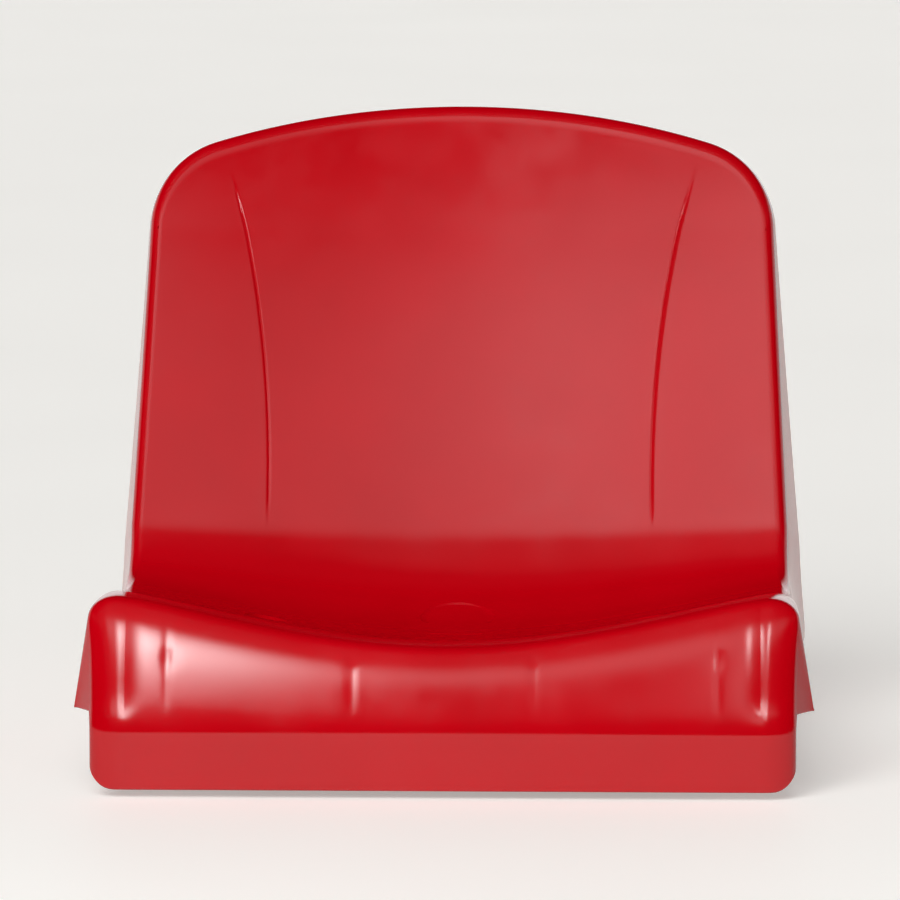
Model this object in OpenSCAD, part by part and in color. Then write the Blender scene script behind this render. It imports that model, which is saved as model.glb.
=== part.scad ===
// Terrace seat: a one-piece moulded bucket shell that is bolted to the front edge of a concrete step.
// X runs across the seat, -Y to its front and +Z up. The origin lies on the step's top face, at the
// centre of the four anchors. Left is -X. All sizes are in millimetres.

/* [Shell] */
// Width of the front face, between its rounded corners' outer ends
front_w = 428; // [400:1:460]
// Distance from the step's front edge back to the top edge of the backrest
seat_depth = 392; // [370:1:420]
// Height of the backrest's top edge above the step
back_h = 345; // [320:1:400]
// How much narrower than the front face the backrest is, just under its top corners
top_narrowing = 24; // [0:1:48]
// The same at the backrest's foot, without the flange
foot_narrowing = 6; // [0:1:20]
// Wall thickness of the moulding
wall = 3.5; // [3:0.1:4]

/* [Nose] */
// How far the front face stands ahead of the step's edge
overhang = 12; // [11:0.5:20]
// Height of the nose's crest above the step, at the middle
nose_h = 40; // [34:1:48]
// Depth of the roll from the nose's face to its crest
nose_roll = 10; // [9.5:0.5:14]
// How far the crease across the front lies below the step's top face
crease_drop = 8; // [4:1:14]
// Angle by which the nose leans back where it leaves the crease
crease_angle = 14; // [10:1:20]
// How far the apron hangs below the step's top face
apron_drop = 46; // [36:1:60]
// Radius of the apron's lower corners, seen from the front
apron_r = 15; // [8:1:20]
// Gap between the apron's side returns and the step's riser
riser_gap = 1; // [0.5:0.1:1.5]

/* [Pan] */
// Height of the pan halfway back, at the middle
pan_mid_h = 25; // [22:1:30]
// Slope of the pan down to the rear
pan_slope = 7; // [5:0.5:9]
// Height where the heel curve meets the backrest
heel_h = 72; // [64:1:80]
// Distance from the top edge of the backrest forward to the heel's end
back_rake = 70; // [60:1:80]
// How far the shell's sides rise above its middle, at the nose
nose_dish = 29; // [20:0.5:32]
// The same along the pan
pan_dish = 30; // [22:0.5:34]
// The same, forward, at the backrest's top
back_dish = 24; // [16:0.5:28]

/* [Rim] */
// Radius of the rolled rim round the pan and the backrest
rim_r = 7; // [6:0.5:9]
// Radius of the backrest's top edge, seen from the front
crown_r = 510; // [480:10:700]
// Radius of the backrest's top corners, seen from the front
corner_r = 60; // [44:1:70]
// Width of the rounded corner at the apron's ends
apron_corner_w = 20; // [16:1:22]
// Width of the rounded corner at the nose's ends
nose_corner_w = 22; // [18:1:34]
// Depth of the rounded corner at the nose's ends
nose_corner_d = 16; // [12:1:22]
// Draft of the flange and the skirts
draft = 9; // [6:0.5:10]
// Depth of the flange behind the backrest's top edge
flange_d = 10; // [6:1:16]
// Distance from the heel's end back to the skirt's rear lower corner
skirt_back = 30; // [20:1:40]
// Rounding of the skirt's rear lower corner, along its edges
skirt_round = 25; // [15:1:40]

/* [Ribs] */
// Thickness of the ribs under the pan
rib_t = 3; // [2.5:0.1:3.5]
// Distance from the middle to the inner long ribs
rib_x_in = 55; // [45:1:70]
// Distance from the middle to the outer long ribs
rib_x_out = 167; // [155:1:172]
// How far the ribs stop short of the heel's end
rib_end_gap = 24; // [16:1:40]

/* [Drain] */
// Length of the drain slot
slot_l = 34; // [24:1:40]
// Width of the drain slot
slot_w = 4; // [3:0.1:4]

/* [Recess] */
// Width of the oval recess at the foot of the backrest
oval_w = 48; // [40:1:56]
// Length of the oval recess, seen from above
oval_l = 34; // [28:1:40]
// Distance from the heel's end forward to the recess's centre
oval_ahead = 46; // [40:1:52]
// Depth of the oval recess
oval_depth = 0.8; // [0.4:0.1:1]

/* [Fixings] */
// Distance between the anchors across the seat
fix_dx = 240; // [200:1:260]
// Distance between the anchors from front to rear
fix_dy = 110; // [100:1:120]
// Distance from the step's edge to the front anchors
fix_edge = 100; // [90:1:110]
// Outer radius of the fixing bosses
boss_r = 16.5; // [16:0.1:19]
// Radius of the recess inside each boss
recess_r = 13; // [12.6:0.1:13.2]
// Thickness of each boss's floor
floor_t = 6; // [5:0.1:7]
// Radius of the anchor's stud
stud_r = 4; // [3.9:0.1:4.1]
// Radius of the anchor's threaded part, which stands above the step
thread_r = 3.8; // [3.7:0.05:3.8]
// Depth of the anchor below the step's top face
embed = 50; // [44:1:70]
// Length of the stud above its nut
stud_tail = 2.8; // [1.5:0.1:3]
// Outer radius of the steel bush in the boss's floor
bush_r = 6; // [5.6:0.1:6.6]
// Outer radius of the rubber sealing washer
seal_r = 11; // [9:0.1:12]
// Thickness of the sealing washer
seal_t = 1.5; // [1:0.1:2]
// Outer radius of the flat washer
washer_r = 12; // [10:0.1:12.4]
// Thickness of the flat washer
washer_t = 2; // [1.6:0.1:2.2]
// Outer radius of the spring washer
spring_r = 6.4; // [6.2:0.1:7]
// Height of the spring washer when tightened
spring_t = 2.2; // [1.8:0.1:2.4]
// Width of the nut across its flats
nut_af = 13; // [12.6:0.1:13.4]
// Height of the nut
nut_h = 6.5; // [5.5:0.1:6.8]
// Height of the snap-in cap
cap_h = 8; // [6:0.5:10]
// Thickness of the cap's face and skirt
cap_t = 1.5; // [1.2:0.1:1.8]

/* [Hidden] */
CORNERS = ["front_left", "front_right", "rear_left", "rear_right"];
PIECES = ["anchor_stud", "expansion_clip", "compression_bush", "sealing_washer",
          "flat_washer", "spring_washer", "hex_nut", "bolt_cap"];
$fn = 48;

red = [0.75, 0.02, 0.05];
zinc = [0.72, 0.74, 0.76];
bright = [0.62, 0.64, 0.67];
black = [0.08, 0.08, 0.08];

// Clearances that the pieces share
run_gap = 0.1;
cap_gap = 0.1;
cap_sink = 0.8;
// A step too small to see, for cuts and joins that must overlap
over = 0.01;

// Depths along Y that follow from the fixings and the step's edge
edge_y = -(fix_edge + fix_dy / 2);
front_y = edge_y - overhang;
top_y = edge_y + seat_depth;
heel_y = top_y - back_rake;
nose_rise = nose_h + crease_drop;
face_run = nose_rise * tan(crease_angle);
crest_y = front_y + face_run + nose_roll;
pan_mid_ahead = 22;
pan_mid_y = (crest_y + heel_y) / 2 - pan_mid_ahead;
rim_h = back_h - rim_r;

// The middle line of the shell, from the apron's lower edge to the backrest's top edge, in five
// stretches: apron, nose, front of the pan, heel and backrest. Each is a cubic curve in Y and Z.
// The pulls say how far the curves follow their end directions, as shares of their spans. The nose's
// face is nearly straight and then rolls over to its crest near the point where both lines would meet.
function heading(a) = [cos(a), sin(a)];
lean_foot = 72.5;
lean_top = 78;
nose_pull = 0.95;
roll_pull = 0.8;
crest_pull = 0.28;
pan_pull = 0.33;
sag_pull = 0.6;
heel_pull = 0.93;
back_pull = 0.34;
P_CREASE = [front_y, -crease_drop];
P_BEND = [front_y + face_run, nose_h];
P_CREST = [crest_y, nose_h];
P_MID = [pan_mid_y, pan_mid_h];
P_HEEL = [heel_y, heel_h];
P_TOP = [top_y, rim_h];
back_rise = rim_h - heel_h;
front_run = pan_mid_y - P_CREST[0];
CURVES = [
    [[front_y, -apron_drop], [front_y, -apron_drop * 2 / 3 - crease_drop / 3],
     [front_y, -apron_drop / 3 - crease_drop * 2 / 3], P_CREASE],
    [P_CREASE, mix(P_CREASE, P_BEND, nose_pull), mix(P_CREST, P_BEND, roll_pull), P_CREST],
    [P_CREST, P_CREST + crest_pull * front_run * heading(0),
     P_MID - pan_pull * front_run * heading(-pan_slope), P_MID],
    [P_MID, P_MID + sag_pull * (heel_y - pan_mid_y) * heading(-pan_slope),
     P_HEEL - heel_pull * heel_h * heading(lean_foot), P_HEEL],
    [P_HEEL, P_HEEL + back_pull * back_rise * heading(lean_foot),
     P_TOP - back_pull * back_rise * heading(lean_top), P_TOP]
];

function cubic(c, t) =
    pow(1 - t, 3) * c[0] + 3 * t * pow(1 - t, 2) * c[1] + 3 * t * t * (1 - t) * c[2] + pow(t, 3) * c[3];
function cubic_slope(c, t) =
    3 * pow(1 - t, 2) * (c[1] - c[0]) + 6 * t * (1 - t) * (c[2] - c[1]) + 3 * t * t * (c[3] - c[2]);
function unit(v) = v / norm(v);
function mix(a, b, t) = a + (b - a) * t;
function ease(t) = t * t * (3 - 2 * t);
function clamp(t) = max(0, min(1, t));

// A station s counts the stretches: 0 to 1 is the apron, 1 to 2 the nose, and so on to 5.
function stretch(s) = min(4, floor(s));
function along(s) = s - stretch(s);
function line_point(s) = cubic(CURVES[stretch(s)], along(s));
function line_dir(s) = unit(cubic_slope(CURVES[stretch(s)], along(s)));
function line_normal(s) = [-line_dir(s)[1], line_dir(s)[0]];

// The station on the pan at depth y, and on the backrest at height z, found by halving
function pan_station(y, lo = 1.2, hi = 3.9, n = 20) =
    n == 0 ? (lo + hi) / 2
    : line_point((lo + hi) / 2)[0] < y ? pan_station(y, (lo + hi) / 2, hi, n - 1)
    : pan_station(y, lo, (lo + hi) / 2, n - 1);
function back_station(z, lo = 4, hi = 5, n = 20) =
    n == 0 ? (lo + hi) / 2
    : line_point((lo + hi) / 2)[1] < z ? back_station(z, (lo + hi) / 2, hi, n - 1)
    : back_station(z, lo, (lo + hi) / 2, n - 1);

// The outline of the backrest's top, at the start of the rolled rim: a shallow crown arc that runs
// into a corner arc. It is a function of the angle from the vertical.
half_top = (front_w - top_narrowing) / 2 - rim_r;
half_foot = (front_w - foot_narrowing) / 2 - rim_r;
edge_crown_r = crown_r - rim_r;
edge_corner_r = corner_r - rim_r;
corner_x = half_top - edge_corner_r;
corner_from = asin(corner_x / (edge_crown_r - edge_corner_r));
corner_z = rim_h - edge_crown_r + (edge_crown_r - edge_corner_r) * cos(corner_from);
function outline(a) =
    a <= corner_from ? [edge_crown_r * sin(a), rim_h - edge_crown_r + edge_crown_r * cos(a)]
    : [corner_x + edge_corner_r * sin(a), corner_z + edge_corner_r * cos(a)];

// Half the width of the shell's face where its rim starts to roll, at each station
apron_return = 2;
apron_corner_d = overhang - riser_gap - apron_return;
half_front = front_w / 2 - apron_corner_w - apron_corner_d * sin(draft);
half_nose = front_w / 2 - nose_corner_w;
half_pan = front_w / 2 - rim_r;
corner_s = back_station(corner_z);
function half_face(s) =
    s <= 1 ? half_front
    : s < 2 ? mix(half_front, half_nose, ease(along(s)))
    : s < 3 ? mix(half_nose, half_pan, ease(along(s)))
    : s < 4 ? mix(half_pan, half_foot, ease(along(s)))
    : mix(half_foot, half_top, clamp((s - 4) / (corner_s - 4)));

// How far the shell's sides rise above its middle, and the direction in which they rise: upwards on
// the nose and the pan, and square to the middle line on the heel and the backrest
function dish(s) =
    s <= 1 ? 0
    : s < 2 ? nose_dish * (line_point(s)[1] + crease_drop) / nose_rise
    : s < 3 ? mix(nose_dish, pan_dish, ease(along(s)))
    : s < 4 ? mix(pan_dish, (pan_dish + back_dish) / 2, ease(along(s)))
    : mix((pan_dish + back_dish) / 2, back_dish, ease(along(s)));
function dish_dir(s) = s < 3 || line_dir(s)[1] < 0 ? [0, 1] : line_normal(s);
dish_ease = 0.4;
function dish_shape(v) = v * v * (1 + dish_ease - dish_ease * v * v);
function dish_slope(v) = abs(v) * (2 + 2 * dish_ease - 4 * dish_ease * v * v);

function face_point(v, s) =
    let (p = line_point(s) + dish(s) * dish_shape(v) * dish_dir(s))
    [v * half_face(s), p[0], p[1]];

// Height of the pan's upper face at x and y
function pan_z(x, y) =
    let (s = pan_station(y))
    line_point(s)[1] + dish(s) * dish_shape(x / half_face(s)) * dish_dir(s)[1];

// The face as a grid. Columns follow the outline's angles, so that each ends on the top edge.
crown_steps = 8;
corner_steps = 6;
ANGLES = concat([for (i = [0:crown_steps]) corner_from * i / crown_steps],
                [for (i = [1:corner_steps]) mix(corner_from, 90, i / corner_steps)]);
COL_ANGLES = concat([for (i = [len(ANGLES) - 1:-1:1]) -ANGLES[i]], ANGLES);
function col_share(a) = sign(a) * outline(abs(a))[0] / half_top;
function col_end(a) = back_station(outline(abs(a))[1]);
STEPS = [2, 10, 6, 13, 10];
ROWS = concat([for (k = [0:4]) for (i = [0:STEPS[k] - 1]) k + i / STEPS[k]], [5]);
nr = len(ROWS) - 1;
nc = len(COL_ANGLES) - 1;
ENDS = [for (a = COL_ANGLES) col_end(a)];
function row_station(i, j) = ROWS[j] <= 4 ? ROWS[j] : 4 + (ROWS[j] - 4) * (ENDS[i] - 4);
FACE = [for (i = [0:nc]) [for (j = [0:nr]) face_point(col_share(COL_ANGLES[i]), row_station(i, j))]];

// Width and depth of the rolled rim at each station
function roll_w(s) =
    s <= 1 ? apron_corner_w
    : s < 2 ? mix(apron_corner_w, nose_corner_w, ease(along(s)))
    : s < 3 ? mix(nose_corner_w, rim_r, ease(along(s)))
    : rim_r;
function roll_d(s) =
    s <= 1 ? apron_corner_d
    : s < 2 ? mix(apron_corner_d, nose_corner_d, ease(along(s)))
    : s < 3 ? mix(nose_corner_d, rim_r, ease(along(s)))
    : rim_r;

// The rim runs up the left side, over the top and down the right side. Each of its points has a
// column and a row of the face, and an angle from the vertical that says which way is outwards.
nb = 2 * nr + nc;
function rim_col(k) = k <= nr ? 0 : k < nr + nc ? k - nr : nc;
function rim_row(k) = k < nr ? k : k <= nr + nc ? nr : 2 * nr + nc - k;
function rim_angle(k) = COL_ANGLES[rim_col(k)];
function rim_station(k) = row_station(rim_col(k), rim_row(k));
function rim_side(k) = rim_angle(k) < 0 ? -1 : 1;
function in_yz(p) = [0, p[0], p[1]];
function outward(k) =
    rim_row(k) < nr ? [rim_side(k), 0, 0]
    : sin(rim_angle(k)) * [1, 0, 0] + cos(rim_angle(k)) * in_yz(line_dir(rim_station(k)));
function outward_face(k) =
    let (s = rim_station(k), o = outward(k), v = abs(col_share(rim_angle(k))))
    unit(o + abs(o[0]) * dish_slope(v) * dish(s) / half_face(s) * in_yz(dish_dir(s)));
// Beside the nose the roll's direction swings from back to down along the whole height of its face,
// because its crest rolls too tightly to be followed.
function roll_normal(s) =
    s <= 1 || s >= 2 ? line_normal(s)
    : heading(mix(180, 90, (line_point(s)[1] + crease_drop) / nose_rise));
function inward(k) = outward(k) * sin(draft) - in_yz(roll_normal(rim_station(k))) * cos(draft);
function rim_start(k) = FACE[rim_col(k)][rim_row(k)];
function roll_point(k, a) =
    let (s = rim_station(k))
    rim_start(k) + roll_w(s) * sin(a) * outward_face(k) + roll_d(s) * (1 - cos(a)) * inward(k);

// Where the wall behind the rolled rim ends: at the riser beside the apron, on the step along the
// skirts, and on a line that climbs from the skirt's rear corner to the flange of the backrest. That
// line never leans forwards.
FLANGE_END = roll_point(nr, 90) - flange_d * in_yz(line_normal(rim_station(nr)));
CREST_END = roll_point(STEPS[0] + STEPS[1], 90);
rear_y = heel_y + skirt_back;
least_climb = 0.02;
rear_climb = max((FLANGE_END[1] - rear_y) / FLANGE_END[2], least_climb);
function soft_min(a, b, r) = min(a, b) - pow(max(r - abs(a - b), 0), 2) / (4 * r);
function wall_length(k) =
    let (q = roll_point(k, 90), d = line_dir(rim_station(k)), up = max(d[1], 0), fwd = sqrt(1 - up * up))
    soft_min(q[2] / max(fwd, over), (rear_y + rear_climb * q[2] - q[1]) / (up + rear_climb * fwd),
             skirt_round);
function wall_end(k) =
    let (q = roll_point(k, 90), s = rim_station(k), up = max(line_dir(s)[1], 0))
    rim_row(k) == nr ? q + flange_d * inward(k)
    : s <= 1 || q[2] <= 0 ? [q[0], edge_y - riser_gap, q[2]]
    : s < 2 ? [q[0], mix(edge_y - riser_gap, CREST_END[1], q[2] / CREST_END[2]), 0]
    : [q[0], q[1] + wall_length(k) * up, q[2] - wall_length(k) * sqrt(1 - up * up)];

// The apron's lower corners are rounded off by lifting the ends of its lower edge. Its returns
// flare by a fraction of a millimetre, which the rounding takes in.
half_apron = front_w / 2 + apron_return * tan(draft);
function apron_edge(x) =
    let (d = clamp((abs(x) - (half_apron - apron_r)) / apron_r))
    -apron_drop + apron_r - sqrt(apron_r * apron_r - d * d * apron_r * apron_r);
function lift_apron(p, s) =
    s > 1 ? p : [p[0], p[1], mix(apron_edge(p[0]), -crease_drop, s)];

// The rolled rim and the wall behind it as a second grid, which starts on the face's border
roll_steps = 5;
wall_steps = 2;
nw = roll_steps + wall_steps;
function rim_point(k, j) =
    let (s = rim_station(k), q = roll_point(k, 90), e = wall_end(k), t = (j - roll_steps) / wall_steps,
         flare = [rim_side(k) * (rim_row(k) == nr ? 0 : norm(e - q) * tan(draft)), 0, 0])
    lift_apron(j <= roll_steps ? roll_point(k, 90 * j / roll_steps) : mix(q, e + flare, t), s);
RIM = [for (k = [0:nb]) [for (j = [0:nw]) rim_point(k, j)]];

// Normals of a grid from its neighbouring points, and the inner surface one wall behind it
function grid_normal(g, i, j, m, n) =
    unit(cross(g[min(i + 1, m)][j] - g[max(i - 1, 0)][j], g[i][min(j + 1, n)] - g[i][max(j - 1, 0)]));
FACE_N = [for (i = [0:nc]) [for (j = [0:nr]) grid_normal(FACE, i, j, nc, nr)]];
RIM_N = [for (k = [0:nb]) [for (j = [0:nw]) grid_normal(RIM, k, j, nb, nw)]];
function level(v) = unit([v[0], v[1], 0]);
function rim_inner(k, j) =
    RIM[k][j] - wall * (j == nw && RIM[k][j][2] < over && RIM[k][j][2] > -over
                        ? level(RIM_N[k][j]) : RIM_N[k][j]);

// Points of the shell: the outer face, the outer rim without its first line, then both again inside
face_count = (nc + 1) * (nr + 1);
half_count = face_count + (nb + 1) * nw;
function face_index(i, j) = i * (nr + 1) + j;
function rim_index(k, j) =
    j == 0 ? face_index(rim_col(k), rim_row(k)) : face_count + k * nw + j - 1;
SHELL_POINTS = concat(
    [for (i = [0:nc]) for (j = [0:nr]) FACE[i][j]],
    [for (k = [0:nb]) for (j = [1:nw]) RIM[k][j]],
    [for (i = [0:nc]) for (j = [0:nr]) FACE[i][j] - wall * FACE_N[i][j]],
    [for (k = [0:nb]) for (j = [1:nw]) rim_inner(k, j)]);
function two(a, b, c, d) = [[a, b, c], [a, c, d]];
function flip(f) = [f[2], f[1], f[0]];
OUTER = [
    for (i = [0:nc - 1]) for (j = [0:nr - 1])
        for (f = two(face_index(i, j), face_index(i, j + 1), face_index(i + 1, j + 1),
                     face_index(i + 1, j))) f,
    for (k = [0:nb - 1]) for (j = [0:nw - 1])
        for (f = two(rim_index(k, j), rim_index(k, j + 1), rim_index(k + 1, j + 1),
                     rim_index(k + 1, j))) f
];
// The free edge: along the apron's lower edge, down the right end of the rim, back along the rim's
// last line and up its left end
EDGE = concat([for (i = [0:nc]) face_index(i, 0)], [for (j = [1:nw]) rim_index(nb, j)],
              [for (k = [nb - 1:-1:0]) rim_index(k, nw)], [for (j = [nw - 1:-1:1]) rim_index(0, j)]);
SHELL_FACES = concat(
    OUTER,
    [for (f = OUTER) flip([f[0] + half_count, f[1] + half_count, f[2] + half_count])],
    [for (e = [0:len(EDGE) - 1])
        for (f = two(EDGE[e], EDGE[(e + 1) % len(EDGE)],
                     EDGE[(e + 1) % len(EDGE)] + half_count, EDGE[e] + half_count)) f]);

module shell_wall() {
    polyhedron(points = SHELL_POINTS, faces = SHELL_FACES, convexity = 10);
}

// The block under some of the face's columns and rows, from a given depth below it down past the
// crease. At half the wall it trims the ribs and the bosses, so that their tops end in the wall.
block_low = -2 * crease_drop;
module block_under(depth, cols, rows) {
    n = len(rows);
    count = len(cols) * n;
    top = [for (i = cols) for (j = rows) FACE[i][j] - depth * FACE_N[i][j]];
    lid = [for (i = [0:len(cols) - 2]) for (j = [0:n - 2])
        for (f = two(i * n + j, i * n + j + 1, i * n + n + j + 1, i * n + n + j)) f];
    side = concat([for (i = [0:len(cols) - 1]) i * n], [for (j = [1:n - 1]) count - n + j],
                  [for (i = [len(cols) - 2:-1:0]) i * n + n - 1], [for (j = [n - 2:-1:1]) j]);
    polyhedron(points = concat(top, [for (p = top) [p[0], p[1], block_low]]), convexity = 6,
               faces = concat(lid, [for (f = lid) flip([f[0] + count, f[1] + count, f[2] + count])],
                              [for (e = [0:len(side) - 1])
                                  for (f = two(side[e], side[(e + 1) % len(side)],
                                               side[(e + 1) % len(side)] + count,
                                               side[e] + count)) f]));
}

// The ribs lie under every second column and row, from the crease to the backrest's foot, and the
// recess lies in a few columns of the heel's rows.
rib_last = 4.4;
RIB_COLS = [for (i = [0:2:nc]) i];
RIB_ROWS = [for (j = [0:2:nr]) if (ROWS[j] >= 1 && ROWS[j] <= rib_last) j];
recess_cols = 3;
RECESS_COLS = [for (i = [nc / 2 - recess_cols:nc / 2 + recess_cols]) i];
RECESS_ROWS = [for (j = [0:nr]) if (ROWS[j] >= 3 && ROWS[j] <= 4) j];

rib_top = 120;
rib_end_y = heel_y - rib_end_gap;
rib_nose_gap = 3;
rib_low = rib_nose_gap - crease_drop;

// A long rib stands on the step and reaches down a little way in front of the riser.
module long_rib(x) {
    riser_y = edge_y - riser_gap;
    translate([x, 0, 0]) rotate([90, 0, 90])
        linear_extrude(height = rib_t, center = true)
            polygon([[front_y - 1, rib_low], [riser_y, rib_low], [riser_y, 0], [rib_end_y, 0],
                     [rib_end_y, rib_top], [front_y - 1, rib_top]]);
}

module cross_rib(y) {
    translate([-rib_x_out, y - rib_t / 2, 0]) cube([2 * rib_x_out, rib_t, rib_top]);
}

module ribs() {
    for (x = [rib_x_in, rib_x_out]) {
        long_rib(x);
        long_rib(-x);
    }
    for (y = [-fix_dy / 2, fix_dy / 2, rib_end_y - rib_t / 2]) cross_rib(y);
}

FIXINGS = [[-1, -1], [1, -1], [-1, 1], [1, 1]];

module at_fixing(i) {
    translate([FIXINGS[i][0] * fix_dx / 2, FIXINGS[i][1] * fix_dy / 2, 0]) children();
}

// The drain slot lies at the pan's lowest point.
function low_station(lo = 2.2, hi = 3.8, n = 20) =
    n == 0 ? (lo + hi) / 2
    : line_dir((lo + hi) / 2)[1] < 0 ? low_station((lo + hi) / 2, hi, n - 1)
    : low_station(lo, (lo + hi) / 2, n - 1);
drain_y = line_point(low_station())[0];

module drain_slot() {
    reach = (slot_l - slot_w) / 2;
    translate([0, drain_y, 0]) {
        translate([-reach, -slot_w / 2, 0]) cube([2 * reach, slot_w, rib_top]);
        translate([-reach, 0, 0]) cylinder(r = slot_w / 2, h = rib_top);
        translate([reach, 0, 0]) cylinder(r = slot_w / 2, h = rib_top);
    }
}

// The oval recess follows the face at its own small depth.
module oval_recess() {
    difference() {
        translate([0, heel_y - oval_ahead, 0])
            linear_extrude(height = rib_top)
                scale([oval_w / 2, oval_l / 2]) circle(r = 1);
        block_under(oval_depth, RECESS_COLS, RECESS_ROWS);
    }
}

module seat_shell() {
    color(red) difference() {
        union() {
            shell_wall();
            intersection() {
                block_under(wall / 2, RIB_COLS, RIB_ROWS);
                union() {
                    ribs();
                    for (i = [0:3]) at_fixing(i) cylinder(r = boss_r, h = rib_top);
                }
            }
        }
        for (i = [0:3]) at_fixing(i) {
            translate([0, 0, floor_t]) cylinder(r = recess_r, h = rib_top);
            translate([0, 0, -1]) cylinder(r = bush_r + run_gap, h = floor_t + 2);
        }
        drain_slot();
        oval_recess();
    }
}

// Heights of the stack inside a boss, from the step upwards
seal_z = floor_t;
washer_z = seal_z + seal_t;
spring_z = washer_z + washer_t;
nut_z = spring_z + spring_t;
stud_top = nut_z + nut_h + stud_tail;

// The anchor's foot: an expander cone, and above it a neck that carries the clip
clip_t = 1;
clip_l = 10;
clip_slit = 1.2;
cone_h = 6;
neck_r = stud_r - clip_t - run_gap;
neck_l = clip_l + 2;
clip_z = cone_h - embed + 0.3;

module tube(r_out, r_in, h) {
    difference() {
        cylinder(r = r_out, h = h);
        translate([0, 0, -1]) cylinder(r = r_in, h = h + 2);
    }
}

module anchor_stud() {
    chamfer = 0.8;
    shank_z = cone_h + neck_l - embed;
    color(zinc) union() {
        translate([0, 0, -embed]) cylinder(r1 = stud_r, r2 = neck_r, h = cone_h);
        translate([0, 0, cone_h - embed - over]) cylinder(r = neck_r, h = neck_l + 2 * over);
        translate([0, 0, shank_z]) cylinder(r = stud_r, h = -shank_z);
        translate([0, 0, -over]) cylinder(r = thread_r, h = stud_top - chamfer + over);
        translate([0, 0, stud_top - chamfer])
            cylinder(r1 = thread_r, r2 = thread_r - chamfer, h = chamfer);
    }
}

module expansion_clip() {
    color(bright) translate([0, 0, clip_z]) difference() {
        tube(stud_r, neck_r + run_gap, clip_l);
        translate([0, -clip_slit / 2, -1]) cube([2 * stud_r, clip_slit, clip_l + 2]);
    }
}

module compression_bush() {
    color(zinc) tube(bush_r, stud_r + 2 * run_gap, floor_t + seal_t);
}

module sealing_washer() {
    color(black) translate([0, 0, seal_z]) tube(seal_r, bush_r + run_gap, seal_t);
}

module flat_washer() {
    color(zinc) translate([0, 0, washer_z]) tube(washer_r, stud_r + 2 * run_gap, washer_t);
}

module spring_washer() {
    split = 1.5;
    color(bright) translate([0, 0, spring_z]) difference() {
        tube(spring_r, stud_r + run_gap, spring_t);
        translate([0, 0, spring_t / 2]) rotate([25, 0, 0])
            translate([0, -split / 2, -2 * spring_t]) cube([2 * spring_r, split, 4 * spring_t]);
    }
}

module hex_nut() {
    corner = nut_af / 2 / cos(30);
    bevel = corner - nut_af / 2;
    color(zinc) translate([0, 0, nut_z]) difference() {
        intersection() {
            linear_extrude(height = nut_h) circle(r = corner, $fn = 6);
            rotate_extrude()
                polygon([[0, 0], [corner - bevel, 0], [corner, bevel / 2], [corner, nut_h - bevel / 2],
                         [corner - bevel, nut_h], [0, nut_h]]);
        }
        translate([0, 0, -1]) cylinder(r = thread_r + run_gap / 2, h = nut_h + 2);
    }
}

// The cap sits a little below the lowest point of its recess's mouth.
function cap_top(i) =
    let (x = fix_dx / 2 - recess_r, y = FIXINGS[i][1] * fix_dy / 2)
    min(pan_z(x, y - recess_r), pan_z(x, y + recess_r)) - cap_sink;

module bolt_cap(top) {
    r = recess_r - cap_gap;
    round_r = 1;
    color(red) translate([0, 0, top - cap_h]) rotate_extrude()
        polygon([[0, cap_h - cap_t], [r - cap_t, cap_h - cap_t], [r - cap_t, 0], [r, 0],
                 [r, cap_h - round_r], [r - round_r, cap_h - round_r / 4], [0, cap_h]]);
}

seat_shell();
for (i = [0:3]) {
    at_fixing(i) anchor_stud();
    at_fixing(i) expansion_clip();
    at_fixing(i) compression_bush();
    at_fixing(i) sealing_washer();
    at_fixing(i) flat_washer();
    at_fixing(i) spring_washer();
    at_fixing(i) hex_nut();
    at_fixing(i) bolt_cap(cap_top(i));
}
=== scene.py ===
# %% [markdown]
# A terrace seat for a sports ground: one shell of red polypropylene, moulded in a single shot, that
# is bolted onto the front edge of a step. The CAD model in the frame says where every piece is.
# This lesson builds the shell again as a finer mesh, gives each piece its finish, and sets a plain
# studio.

# %% Load the frame
import math

import bmesh
import bpy
import numpy as np
from mathutils import Matrix, Vector
from mathutils.bvhtree import BVHTree


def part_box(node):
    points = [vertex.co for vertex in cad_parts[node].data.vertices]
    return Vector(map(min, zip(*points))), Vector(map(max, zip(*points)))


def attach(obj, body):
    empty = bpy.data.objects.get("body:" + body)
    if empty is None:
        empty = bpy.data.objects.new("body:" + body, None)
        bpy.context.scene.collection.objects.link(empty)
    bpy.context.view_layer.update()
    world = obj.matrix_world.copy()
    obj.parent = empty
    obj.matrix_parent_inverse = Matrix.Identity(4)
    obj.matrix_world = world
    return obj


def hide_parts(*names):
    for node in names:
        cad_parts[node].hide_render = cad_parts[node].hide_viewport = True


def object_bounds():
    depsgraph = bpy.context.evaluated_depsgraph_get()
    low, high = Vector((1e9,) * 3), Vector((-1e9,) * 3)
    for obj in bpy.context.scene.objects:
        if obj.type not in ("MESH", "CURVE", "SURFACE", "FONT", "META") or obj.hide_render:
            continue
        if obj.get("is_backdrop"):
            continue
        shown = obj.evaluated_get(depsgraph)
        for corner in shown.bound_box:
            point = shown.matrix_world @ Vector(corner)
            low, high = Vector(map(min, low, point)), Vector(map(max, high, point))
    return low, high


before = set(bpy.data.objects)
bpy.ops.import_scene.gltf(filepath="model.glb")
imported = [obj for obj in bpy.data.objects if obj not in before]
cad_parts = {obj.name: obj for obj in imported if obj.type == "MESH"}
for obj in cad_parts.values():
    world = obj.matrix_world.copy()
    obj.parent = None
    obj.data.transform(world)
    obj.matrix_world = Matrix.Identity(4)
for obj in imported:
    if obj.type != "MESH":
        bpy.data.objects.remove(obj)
CAD_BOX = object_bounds()
MM = 0.001
BODY = "root"


def new_object(name, data):
    """An object that is linked to the scene."""
    thing = bpy.data.objects.new(name, data)
    bpy.context.scene.collection.objects.link(thing)
    return thing


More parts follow.
